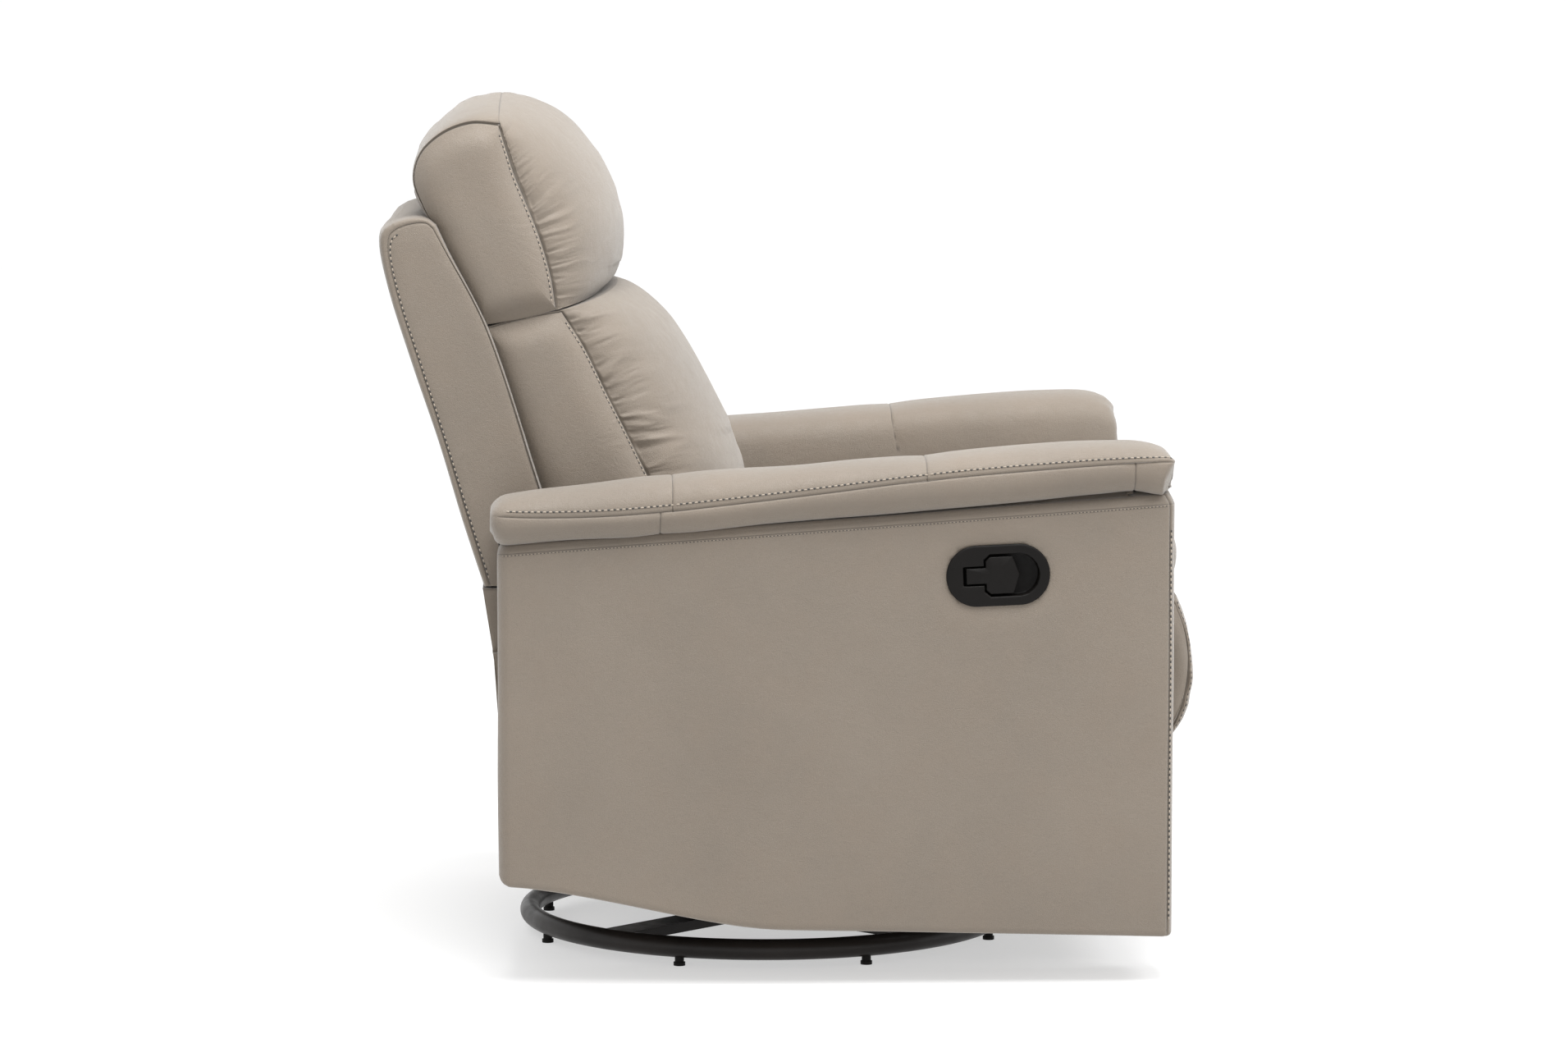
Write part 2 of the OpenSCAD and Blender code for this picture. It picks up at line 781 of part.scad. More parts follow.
lumbar_rear = [[330, 752], [376, 745], [288, 484], [262, 441]];
lumbar_middle = [[20, 484], [12, 512], [28, 565], [57, 640], [99, 722], [145, 780], [176, 790]];
lumbar_side = [[105, 484], [112, 512], [142, 580], [168, 630], [196, 686], [228, 744], [250, 770]];
head_rear = [[398, 893], [392, 870], [342, 764], [332, 759]];
head_middle = [
    [252, 782], [196, 799], [182, 811], [176, 848], [178, 889], [193, 928], [216, 967], [254, 1005],
    [300, 1025], [330, 1025], [377, 1005], [396, 986], [418, 954], [421, 928]
];
head_side = [
    [252, 784], [262, 850], [280, 915], [305, 975], [330, 996], [372, 1000], [396, 980], [414, 952],
    [417, 928]
];

module lumbar_cushion() color(LEATHER) placed()
    hull() {
        side_view_plate(-110, 220) polygon(concat(lumbar_rear, lumbar_middle));
        side_view_plate(-268, 536) polygon(concat(lumbar_rear, lumbar_side));
    }

module head_cushion() color(LEATHER) placed()
    hull() {
        side_view_plate(-140, 280) polygon(concat(head_rear, head_middle));
        side_view_plate(-272, 544) polygon(concat(head_rear, head_side));
    }

// ---- footrest linkage ----

module drive_tube() color(STEEL) placed()
    cross_pin(tong_root, -plane_a - tong_t, plane_a + tong_t, drive_tube_r);

module tong_rear_links() color(BLACK_STEEL) placed()
    both_sides()
        side_view_plate(plane_a, tong_t)
            difference() {
                union() {
                    bar_outline([tong_root, tong_a_end], tong_w);
                    translate(tong_root) circle(r = 15);
                }
                holes([tong_mid, tong_a_end], rivet_r);
                translate(tong_root) circle(r = drive_tube_r);
            }

module tong_rear_rivets() color(STEEL) placed()
    both_sides()
        for (p = [tong_mid, tong_a_end]) rivet(p, plane_a, plane_b + tong_t + 0.4);

module tong_cross_links() color(BLACK_STEEL) placed()
    both_sides()
        side_view_plate(plane_b, tong_t)
            difference() {
                bar_outline([tong_b_low, tong_b_end], tong_w);
                holes([tong_b_low, tong_b_end], rivet_r);
                holes([tong_mid], rivet_r + running_gap);
            }

module tong_cross_rivets() color(STEEL) placed()
    both_sides() {
        cross_pin(tong_b_low, side_plate_x, plane_b + tong_t, rivet_r);
        rivet(tong_b_end, plane_b, plane_front + tong_t + 0.4);
    }

module tong_front_links() color(BLACK_STEEL) placed()
    both_sides() {
        side_view_plate(plane_front, tong_t)
            difference() {
                bar_outline([tong_b_end, tong_cross, control_low], tong_w);
                holes([tong_b_end], rivet_r + running_gap);
                holes([tong_cross], rivet_r + loose_gap);
                holes([control_low], rivet_r);
            }
        cross_pin(control_low, plane_front, plane_control + tong_t + 0.4, rivet_r);
    }

module tong_reach_links() color(BLACK_STEEL) placed()
    both_sides()
        side_view_plate(plane_b, tong_t)
            difference() {
                bar_outline([tong_a_end, pad_pivot], tong_w);
                holes([tong_a_end], rivet_r + running_gap);
                holes([tong_cross, pad_pivot], rivet_r);
            }

module tong_reach_rivets() color(STEEL) placed()
    both_sides() {
        rivet(tong_cross, plane_b, plane_front + tong_t + 0.4);
        cross_pin(pad_pivot, plane_b, plane_bracket + tong_t + 0.4, rivet_r);
    }

module footrest_control_links() color(BLACK_STEEL) placed()
    both_sides()
        side_view_plate(plane_control, tong_t)
            difference() {
                bar_outline([control_low, control_high], 19);
                holes([control_low], rivet_r + running_gap);
                holes([control_high], rivet_r + control_slack);
            }

bracket_low_z = 250;
bracket_high_z = 350;
bracket_foot_w = 18;
bracket_foot_h = 28;

module footrest_brackets() color(BLACK_STEEL) placed()
    both_sides() {
        side_view_plate(plane_bracket, tong_t)
            difference() {
                union() {
                    bar_outline([pad_pivot, control_high], 20);
                    polygon([
                        [board_y, bracket_low_z], [board_y, bracket_high_z], [board_y + 6, bracket_high_z],
                        [pad_pivot[0] + 4, 309], [pad_pivot[0] + 4, 291], [board_y + 6, bracket_low_z]
                    ]);
                }
                holes([pad_pivot], rivet_r + running_gap);
            }
        for (z = [bracket_low_z, bracket_high_z - bracket_foot_h])
            translate([plane_bracket - bracket_foot_w, board_y, z])
                cube([bracket_foot_w, 3, bracket_foot_h]);
        cross_pin(control_high, plane_bracket, plane_control + tong_t + 0.4, rivet_r);
    }

module footrest_board() color(BOARD) placed()
    translate([-footrest_half_w + 8, pad_back_y, pad_low_z + 8])
        cube([2 * footrest_half_w - 16, board_t, pad_high_z - pad_low_z - 16]);

bolster_low_z = 250;
flat_t = 9;
bolster_side = [
    [pad_back_y, bolster_low_z], [pad_back_y, pad_high_z - 2], [pad_back_y - 22, pad_high_z - 8],
    [pad_back_y - 34, pad_high_z - 50], [pad_back_y - 36, 340], [pad_back_y - 22, 284],
    [pad_back_y - flat_t, bolster_low_z]
];
bolster_middle = [
    [pad_back_y, bolster_low_z], [pad_back_y, pad_high_z], [pad_back_y - 24, pad_high_z],
    [pad_back_y - 40, pad_high_z - 28], [pad_front_y, 346], [pad_front_y, 318], [pad_back_y - 38, 281],
    [pad_back_y - flat_t, bolster_low_z]
];
flat_outline = [
    [pad_back_y, pad_low_z], [pad_back_y, bolster_low_z + 5], [pad_back_y - flat_t, bolster_low_z + 5],
    [pad_back_y - flat_t, pad_low_z + 4], [pad_back_y - flat_t + 4, pad_low_z]
];

module footrest_pad() color(LEATHER) placed() {
    hull() {
        side_view_plate(-180, 360) polygon(bolster_middle);
        side_view_plate(-footrest_half_w, 2 * footrest_half_w) polygon(bolster_side);
    }
    side_view_plate(-footrest_half_w, 2 * footrest_half_w) polygon(flat_outline);
}

base_ring();
ring_glides();
cross_arms();
hub_plate();
bearing_lower_race();
bearing_balls();
bearing_upper_race();
turntable_plate();
swivel_pin();
cross_channels();
link_posts();
post_pins();
front_swing_links();
rear_swing_links();
hanger_plates();
hanger_pins();
cross_rails();
side_plate_left();
side_plate_right();
seat_guides();
arm_frame_left();
arm_frame_right();
arm_outer_left();
arm_outer_right();
arm_inner_left();
arm_inner_right();
arm_front_left();
arm_front_right();
arm_pad_left();
arm_pad_right();
rear_skirt();
handle_cup();
release_lever();
release_cable();
latch_pawl();
seat_rails();
seat_springs();
seat_cushion();
back_hinge_pins();
back_hinge_plates();
back_posts();
back_rails();
back_springs();
back_rear_panel();
back_wing_left();
back_wing_right();
lumbar_cushion();
head_cushion();
drive_tube();
tong_rear_links();
tong_rear_rivets();
tong_cross_links();
tong_cross_rivets();
tong_front_links();
tong_reach_links();
tong_reach_rivets();
footrest_control_links();
footrest_brackets();
footrest_board();
footrest_pad();
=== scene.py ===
import json
import math

import bmesh
import bpy
import numpy as np
from mathutils import Matrix, Vector
from mathutils.kdtree import KDTree


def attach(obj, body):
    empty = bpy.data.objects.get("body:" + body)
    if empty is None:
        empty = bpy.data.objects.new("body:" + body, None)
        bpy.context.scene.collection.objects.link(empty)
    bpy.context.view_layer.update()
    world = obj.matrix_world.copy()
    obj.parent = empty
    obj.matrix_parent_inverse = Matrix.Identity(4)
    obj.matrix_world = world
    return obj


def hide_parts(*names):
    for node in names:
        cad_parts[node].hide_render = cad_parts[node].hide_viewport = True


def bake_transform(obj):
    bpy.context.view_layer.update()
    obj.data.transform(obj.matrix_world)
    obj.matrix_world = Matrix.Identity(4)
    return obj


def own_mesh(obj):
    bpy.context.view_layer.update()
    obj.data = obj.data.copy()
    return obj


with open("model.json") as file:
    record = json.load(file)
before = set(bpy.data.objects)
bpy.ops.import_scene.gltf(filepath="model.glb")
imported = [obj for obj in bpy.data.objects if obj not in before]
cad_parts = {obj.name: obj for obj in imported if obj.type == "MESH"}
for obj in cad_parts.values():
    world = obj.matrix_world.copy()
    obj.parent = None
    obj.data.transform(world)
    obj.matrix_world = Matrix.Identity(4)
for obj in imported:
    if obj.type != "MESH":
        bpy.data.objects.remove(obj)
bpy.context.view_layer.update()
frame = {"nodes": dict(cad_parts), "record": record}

# Shapes are in millimetres with the swivel axis at y = 0; place() moves them into the chair's frame.
MM = 0.001
SWIVEL_Y = 22
LEFT, RIGHT = 1, -1
# Where a panel's points lie near a seam, and how far from the seam its stitches run
FINE = (0, 0.8, 1.8, 3.0, 4.4, 6.2, 9, 13)
STITCH_OFFSET = 6.2
# Cloth: voxel size, how far a held point's hold reaches, and the length of the simulation
CLOTH_STEP = 6
HELD_REACH = 12
CLOTH_FRAMES = 20
# A stitch is a small body with BEAD_SIDES sides; its rings are (place along it, size)
BEAD_SIDES = 6
BEAD_RINGS = ((-0.5, 0.3), (-0.36, 0.9), (0, 1), (0.36, 0.9), (0.5, 0.3))


def place(points):
    return (np.asarray(points, float) + (0, SWIVEL_Y, 0)) * MM


# ---- camera ----


def link_object(name, data):
    obj = bpy.data.objects.new(name, data)
    bpy.context.scene.collection.objects.link(obj)
    return obj


def make_camera():
    data = bpy.data.cameras.new("camera")
    data.lens = 124.53
    data.sensor_width = 36
    camera = link_object("camera", data)
    pitch, yaw = math.radians(6.0703), math.radians(2.0977)
    forward = Vector((math.cos(yaw) * math.cos(pitch), -math.sin(yaw) * math.cos(pitch), -math.sin(pitch)))
    right = Vector((-math.sin(yaw), -math.cos(yaw), 0))
    turn = Matrix((right, right.cross(forward), -forward)).transposed().to_4x4()
    camera.matrix_world = Matrix.Translation((-6.6, 0.2408, 1.1933)) @ turn
    bpy.context.scene.camera = camera


make_camera()


# ---- curves, noise and closed skins ----


class Curve:
    """A smooth curve through its keys, read by share of its length."""

    def __init__(self, keys, steps=16):
        k = np.array(keys, float)
        if len(k) == 2:
            self.points = k
        else:
            k = np.vstack([2 * k[0] - k[1], k, 2 * k[-1] - k[-2]])
            runs = []
            for i in range(1, len(k) - 2):
                p0, p1, p2, p3 = k[i - 1 : i + 3]
                t1 = np.linalg.norm(p1 - p0) ** 0.5
                t2 = t1 + np.linalg.norm(p2 - p1) ** 0.5
                t3 = t2 + np.linalg.norm(p3 - p2) ** 0.5
                t = np.linspace(t1, t2, steps, endpoint=False)[:, None]
                a1 = (t1 - t) / t1 * p0 + t / t1 * p1
                a2 = (t2 - t) / (t2 - t1) * p1 + (t - t1) / (t2 - t1) * p2
                a3 = (t3 - t) / (t3 - t2) * p2 + (t - t2) / (t3 - t2) * p3
                b1 = (t2 - t) / t2 * a1 + t / t2 * a2
                b2 = (t3 - t) / (t3 - t1) * a2 + (t - t1) / (t3 - t1) * a3
                runs.append((t2 - t) / (t2 - t1) * b1 + (t - t1) / (t2 - t1) * b2)
            self.points = np.vstack(runs + [k[-2]])
        gaps = np.linalg.norm(np.diff(self.points, axis=0), axis=1)
        self.reach = np.concatenate([[0], np.cumsum(gaps)])
        self.length = self.reach[-1]

    def at(self, share):
        s = np.asarray(share) * self.length
        return np.stack([np.interp(s, self.reach, c) for c in self.points.T], -1)


def spacing(length, step, fine=FINE):
    """Distances along a panel, close together near the seams at its two ends."""
    half = length / 2
    start = [d for d in fine if d < 0.8 * half]
    count = max(1, round((half - start[-1]) / step))
    first = start + list(np.linspace(start[-1], half, count + 1)[1:])
    return np.array(first + [length - d for d in reversed(first[:-1])])


def soft_noise(a, b, seed):
    """Smooth random values from -1 to 1 over two coordinates."""
    size = 128
    table = np.random.default_rng(seed).uniform(-1, 1, (size, size))
    a, b = np.broadcast_arrays(a, b)
    i, j = np.floor(a).astype(int), np.floor(b).astype(int)
    u, v = a - i, b - j
    u, v = u * u * (3 - 2 * u), v * v * (3 - 2 * v)

    def at(di, dj):
        return table[(i + di) % size, (j + dj) % size]

    return (at(0, 0) * (1 - u) + at(1, 0) * u) * (1 - v) + (at(0, 1) * (1 - u) + at(1, 1) * u) * v


def gathers(along, away, reach, depth, seed):
    """Folds that run away from a seam: narrow along it, long across it, gone beyond reach."""
    bent = along + 9 * soft_noise(along / 60, away / 40, seed)
    fine = 0.42 - np.abs(soft_noise(bent / 5.5, away / 38, seed + 1))
    broad = 0.42 - np.abs(soft_noise(bent / 18, away / 80, seed + 2))
    patch = 0.75 + 0.35 * soft_noise(along / 42, away / 200, seed + 3)
    near = np.exp(-((away / (0.5 * reach)) ** 2))
    far = np.exp(-((away / reach) ** 2))
    return depth * patch * (fine * near + 1.1 * broad * far)


def groove(distance, depth, width):
    """A seam's section: a narrow groove in a wide shallow dip."""
    return depth * np.exp(-((distance / width) ** 2)) + 0.2 * depth * np.exp(-((distance / 6) ** 2))


def smooth_step(t):
    t = np.clip(t, 0, 1)
    return t * t * (3 - 2 * t)


class Skin:
    """A closed surface. Rows run round it, and columns run from one pole to the other."""

    def __init__(self, points):
        self.p = np.array(points, float)
        # Painted shade along the seams, from 0 to 1 at each point; the leather material darkens the colour by
        # it.
        self.painted_shade = np.zeros(self.p.shape[:2])
        p = self.p
        volume = np.einsum("ijk,ijk->", np.cross(self._down(), self._round()), p)
        self.sign = 1 if volume > 0 else -1

    def _round(self):
        return np.roll(self.p, -1, 0) - np.roll(self.p, 1, 0)

    def _down(self):
        return np.gradient(self.p, axis=1)

    def normals(self):
        n = self.sign * np.cross(self._down(), self._round())
        n[:, 0] = n[:, 1].mean(0)
        n[:, -1] = n[:, -2].mean(0)
        return n / np.maximum(np.linalg.norm(n, axis=2, keepdims=True), 1e-9)

    def push(self, amount):
        """Moves the surface outward by amount, which has a value for each point."""
        amount = np.array(np.broadcast_to(amount, self.p.shape[:2]))
        for pole in (0, -1):
            amount[:, pole] = amount[:, pole].mean()
        self.p += self.normals() * amount[..., None]

    def seam(self, distance, mask=1, depth=1.8, width=1.0):
        self.push(-groove(distance, depth, width) * mask)
        # The groove also gets painted shade: a narrow mask that the leather material darkens.
        self.painted_shade = np.maximum(self.painted_shade, np.exp(-((distance / 0.8) ** 2)) * mask)

    def object(self, name, material):
        rows, cols = self.p.shape[:2]
        inner = cols - 2
        verts = np.vstack([self.p[:, 1:-1].reshape(-1, 3), self.p[0, :1], self.p[0, -1:]])
        painted_shade = np.concatenate([self.painted_shade[:, 1:-1].ravel(), [0, 0]])
        r, c = np.meshgrid(np.arange(rows), np.arange(inner - 1), indexing="ij")
        after = (r + 1) % rows
        here, there = r * inner + c, after * inner + c
        quads = np.stack([here, here + 1, there + 1, there], -1).reshape(-1, 4)
        ring = np.arange(rows)
        following = (ring + 1) % rows
        pole = np.full(rows, rows * inner)
        first = np.stack([pole, ring * inner, following * inner], -1)
        last = np.stack([pole + 1, (following + 1) * inner - 1, (ring + 1) * inner - 1], -1)
        faces = [list(f) for f in (*quads, *first, *last)]
        if self.sign > 0:
            faces = [f[::-1] for f in faces]
        return mesh_object(name, verts, faces, material, painted_shade)


def mesh_object(name, verts, faces, material, painted_shade=None):
    data = bpy.data.meshes.new(name)
    data.from_pydata([tuple(v) for v in place(verts)], [], faces)
    # The painted-shade mask of seams and needle holes is stored on the points for the materials.
    if painted_shade is not None:
        data.attributes.new("painted_shade", "FLOAT", "POINT").data.foreach_set("value", painted_shade.astype(np.float32))
    data.polygons.foreach_set("use_smooth", [True] * len(data.polygons))
    data.materials.append(material)
    data.validate()
    return link_object(name, data)


def closed(*panels):
    """A cushion's outline: each panel starts where the one before it ends, and the last meets the first."""
    return [[panels[i - 1][-1]] + panel for i, panel in enumerate(panels)]


def inner_depth(points, border):
    """How deep each point lies inside a border, without the ridges of the plain distance."""
    edge = np.linalg.norm(np.roll(border, -1, 0) - border, axis=1)
    away = np.linalg.norm(points[:, :, None] - border, axis=3)
    return (edge / np.maximum(away, 3) ** 3).sum(2) ** -0.5


class Cushion(Skin):
    """A stuffed piece: two side panels on x, and the panels between them, crowned in the middle.

    side and middle are the outlines of the side panel and of the crown, panel by panel, as (y, z).
    """

    def __init__(self, side, middle, half_w, power, crown, bulge, step=(3, 7), dome=2.4, coarse=()):
        a, b, start, end, panel, along = [], [], [], [], [], []
        total = 0
        for k, (s, m) in enumerate(zip(side, middle)):
            s, m = Curve(s), Curve(m)
            d = spacing(max(s.length, m.length), 9 if k in coarse else step[0])
            share = d[:-1] / d[-1]
            a.append(s.at(share))
            b.append(m.at(share))
            start.append(d[:-1])
            end.append(d[-1] - d[:-1])
            panel.append(np.full(len(share), k))
            along.append(total + d[:-1])
            total += d[-1]
        a, b = np.vstack(a), np.vstack(b)
        self.start, self.end = np.concatenate(start), np.concatenate(end)
        self.panel, self.along = np.concatenate(panel), np.concatenate(along)

        phi = np.linspace(0, math.pi / 2, 600)
        s = np.cos(phi) ** (2 / power)
        w = np.sin(phi) ** (2 / power)
        arc = np.concatenate([[0], np.cumsum(np.hypot(np.diff(s) * half_w, np.diff(w) * crown))])
        d = spacing(2 * arc[-1], step[1])
        near = np.minimum(d, 2 * arc[-1] - d)
        across = np.where(d < arc[-1], -1, 1) * np.interp(near, arc, s) * half_w
        lift = np.interp(near, arc, w)

        centre = (a.max(0) + a.min(0)) / 2
        radius = np.linalg.norm(a - centre, axis=1).mean()
        ring = spacing(2 * radius, step[1])
        ring = ring[ring < radius - 1]
        keep = 1 - ring / radius
        flat = centre + (a - centre)[:, None] * keep[None, :, None]
        depth = inner_depth(flat, a)
        by_seam = smooth_step(1 - ring / 22)[None, :]
        depth = by_seam * (1 - keep)[None, :] + (1 - by_seam) * depth / depth.max()
        swell = half_w + bulge * (1 - (1 - depth) ** dome) ** 0.8

        def side_points(sign):
            yz, x = flat, sign * swell
            pole = np.broadcast_to([sign * (half_w + bulge), *centre], (len(a), 1, 3))
            return np.concatenate([np.concatenate([x[..., None], yz], 2), pole], 1)

        yz = a[:, None] + (b - a)[:, None] * lift[None, :, None]
        x = np.broadcast_to(across, yz.shape[:2])
        front = np.concatenate([x[..., None], yz], 2)
        points = np.concatenate([side_points(-1)[:, :0:-1], front, side_points(1)[:, 1:]], 1)
        rings = len(ring)
        ring_gap = np.append(ring[1:], radius)
        self.distance = np.concatenate([ring_gap[::-1], near, ring_gap])
        self.first, self.last = rings, rings + len(near) - 1
        self.is_front = np.zeros(len(self.distance), bool)
        self.is_front[self.first : self.last + 1] = True
        super().__init__(points)

    def side_seams(self, panels=None, depth=1.8):
        mask = np.ones(len(self.p))
        if panels is not None:
            mask = np.isin(self.panel, panels).astype(float)
            mask = np.convolve(np.concatenate([mask[-3:], mask, mask[:3]]), np.full(7, 1 / 7), "valid")
        self.seam(self.distance[None, :], mask[:, None], depth)

    def cross_seam(self, panel, depth=1.6):
        """A seam across the middle part, where the given panel starts."""
        count = self.panel.max() + 1
        before = (panel - 1) % count
        distance = np.full(len(self.p), 99.0)
        distance[self.panel == panel] = self.start[self.panel == panel]
        other = self.panel == before
        distance[other] = np.minimum(distance[other], self.end[other])
        self.seam(distance[:, None], self.is_front[None, :].astype(float), depth)

    def held(self, hidden, across=()):
        """The points that don't swell: the seams, and the panels that rest on the frame."""
        edge = (np.isin(self.panel, across) & (self.start <= 1.5))[:, None]
        side = self.distance[None, :] <= 1.5
        return side | (edge & self.is_front[None, :]) | np.isin(self.panel, hidden)[:, None]

    def loose(self, panels):
        """The points with extra leather: the front panels named, away from the side seams."""
        return np.isin(self.panel, panels)[:, None] & self.is_front[None, :] & (self.distance > 3)[None, :]

    def column(self, sign, offset, front=False):
        """The column that runs beside a side seam, offset from it on the side panel or on the front."""
        seam = self.first if sign < 0 else self.last
        step = (1 if sign < 0 else -1) * (1 if front else -1)
        i = seam
        while self.distance[i] < offset - 0.01:
            i += step
        return i

    def gather(self, panels, reach, depth, seed, sides=0.0):
        """Folds in the front panels that spread from both side seams, and fainter ones in the side panels."""
        mask = np.isin(self.panel, panels).astype(float)[:, None]
        fade = smooth_step(np.minimum(self.start, self.end) / 14 + 0.25)[:, None]
        away = self.distance[None, :]
        along = self.along[:, None]
        left = (np.arange(len(self.distance)) < len(self.distance) / 2)[None, :]
        left_folds = gathers(along, away, reach, depth, seed)
        right_folds = gathers(along, away, reach, depth, seed + 50)
        folds = np.where(left, left_folds, right_folds)
        amount = np.where(self.is_front[None, :], folds, sides * folds)
        rise = smooth_step(away / 4)
        self.push(amount * mask * fade * rise)


def search_tree(points):
    tree = KDTree(len(points))
    for i, point in enumerate(points):
        tree.insert(point, i)
    tree.balance()
    return tree


def nearest(points, targets):
    """Each target's closest point: its number and its distance in millimetres. Targets are in metres."""
    tree = search_tree(place(points))
    found = [tree.find(target) for target in targets]
    return np.array([f[1] for f in found]), np.array([f[2] for f in found]) / MM


def simulate(skin, held, loose, slack, cap=26, shift=0.0):
    """Cloth under pressure, on a remeshed copy; its movement is read back onto the skin.

    held and loose mark the skin's points that stay where they are and those with extra leather, slack is the
    share of it, and shift is how far the middle stands out from its drawn shape when the leather has swollen.
    """
    scene = bpy.context.scene
    copy = skin.object("swelling", panel_leather)
    remesh = copy.modifiers.new("remesh", "REMESH")
    remesh.mode = "VOXEL"
    remesh.voxel_size = CLOTH_STEP * MM
    graph = bpy.context.evaluated_depsgraph_get()
    mesh = bpy.data.meshes.new_from_object(copy.evaluated_get(graph))
    copy.modifiers.clear()
    copy.data = mesh
    count = len(mesh.vertices)
    before = np.empty(3 * count)
    mesh.vertices.foreach_get("co", before)
    before = before.reshape(-1, 3)

    near = nearest(skin.p[held], before)[1]
    group = copy.vertex_groups.new(name="held")
    for level in range(1, 11):
        weight = level / 10
        low_edge, high_edge = HELD_REACH * (1 - weight), HELD_REACH * (1.1 - weight)
        inside = np.where((near <= high_edge) & ((near > low_edge) | (level == 10)))[0]
        group.add([int(i) for i in inside], weight, "REPLACE")
    extra = copy.vertex_groups.new(name="extra")
    is_loose = loose.ravel()[nearest(skin.p.reshape(-1, 3), before)[0]]
    extra.add([int(i) for i in np.where(is_loose)[0]], 1.0, "REPLACE")
    cloth = copy.modifiers.new("cloth", "CLOTH").settings
    cloth.vertex_group_mass = "held"
    cloth.vertex_group_shrink = "extra"
    cloth.pin_stiffness = 1.0
    cloth.quality = 4
    cloth.mass = 0.3
    cloth.tension_stiffness = cloth.compression_stiffness = 14
    cloth.shear_stiffness = 8
    cloth.bending_stiffness = 0.35
    cloth.shrink_min = 0.0
    cloth.shrink_max = -slack
    cloth.use_pressure = True
    cloth.uniform_pressure_force = 4
    cloth.effector_weights.gravity = 0
    for frame_number in range(1, CLOTH_FRAMES + 1):
        scene.frame_set(frame_number)
    result = copy.evaluated_get(bpy.context.evaluated_depsgraph_get())
    after = np.empty(3 * count)
    result.data.vertices.foreach_get("co", after)
    move = (after.reshape(-1, 3) - before) / MM
    size = np.linalg.norm(move, axis=1, keepdims=True)
    move *= np.minimum(1, cap / np.maximum(size, 1e-6))
    scene.frame_set(1)
    bpy.data.objects.remove(copy)

    tree = search_tree(before)
    points = place(skin.p).reshape(-1, 3)
    moved = np.zeros_like(points)
    for i, point in enumerate(points):
        found = tree.find_n(point, 9)
        share = np.array([1 / (3e-3 + f[2]) for f in found])
        moved[i] = (move[[f[1] for f in found]] * share[:, None]).sum(0) / share.sum()
    moved = moved.reshape(skin.p.shape) * skin.is_front[:, None]
    out = (moved * skin.normals()).sum(2)
    free = ~held & skin.is_front
    swell = np.percentile(out[free], 85) if free.any() else 0
    print("cloth:", count, "points, swell", round(float(swell), 2), "most", round(float(size.max()), 2))
    skin.p += moved
    ease = np.clip(out / max(swell, 1e-6), 0, 1)
    skin.push(-(swell - shift) * smooth_step(ease))


def undulate(skin, size, depth, seed):
    """Slow, shallow waves, as leather has over foam."""
    p = skin.p
    a = (p[..., 1] + 0.6 * p[..., 0]) / size
    b = (p[..., 2] - 0.4 * p[..., 0]) / size
    skin.push(depth * soft_noise(a, b, seed))


# ---- stitches ----


class Thread:
    """Collects the stitches of one body in one mesh."""

    def __init__(self):
        self.verts, self.faces, self.hole = [], [], []

    def bead(self, mid, way, side, up, length, width, height, lift, hole):
        """A small rounded body: a stitch on the leather, or the bead for the needle hole that its thread goes
        into, which is marked for painted shade: the thread material darkens it nearly to black.
        """
        base = len(self.verts)
        for along, size in BEAD_RINGS:
            for a in range(BEAD_SIDES):
                c, s = math.cos(a * math.pi / 3), math.sin(a * math.pi / 3)
                rise = up * (s * height * size + lift * size)
                self.verts.append(mid + way * along * length + side * c * width * size + rise)
        last = len(self.verts) - BEAD_SIDES
        for ring in range(base, last, BEAD_SIDES):
            for a in range(BEAD_SIDES):
                b = (a + 1) % BEAD_SIDES
                self.faces.append([ring + a, ring + b, ring + BEAD_SIDES + b, ring + BEAD_SIDES + a])
        self.faces.append([base + a for a in range(BEAD_SIDES)][::-1])
        self.faces.append([last + a for a in range(BEAD_SIDES)])
        # hole is 1 on the needle-hole beads, which get painted shade
        self.hole += [hole] * (len(self.verts) - base)

    def add(self, line, normals, gap=6.6, length=3.4, radius=0.75):
        """Stitches along a line, one every gap, with a needle hole between each two: a bead in painted shade.
        """
        line = np.asarray(line, float)
        steps = np.linalg.norm(np.diff(line, axis=0), axis=1)
        reach = np.concatenate([[0], np.cumsum(steps)])
        count = int(reach[-1] // gap)
        for k in range(count):
            s = (k + 0.5) * gap

            def at(values, q):
                return np.array([np.interp(q, reach, c) for c in np.asarray(values).T])

            mid, up = at(line, s), at(normals, s)
            way = at(line, s + 1) - at(line, s - 1)
            way /= max(np.linalg.norm(way), 1e-9)
            side = np.cross(up, way)
            side /= max(np.linalg.norm(side), 1e-9)
            self.bead(mid, way, side, up, length, radius, 0.7 * radius, 0.35, 0)
            hole = mid + way * gap / 2
            self.bead(hole, way, side, up, 0.42 * gap, 1.35 * radius, 0.35, 0.25, 1)

    def object(self, name, material):
        # The needle-hole marks become the mesh's painted-shade attribute, which the thread material darkens
        # nearly to black.
        return mesh_object(name, np.array(self.verts), self.faces, material, np.array(self.hole, float))


# ---- materials ----


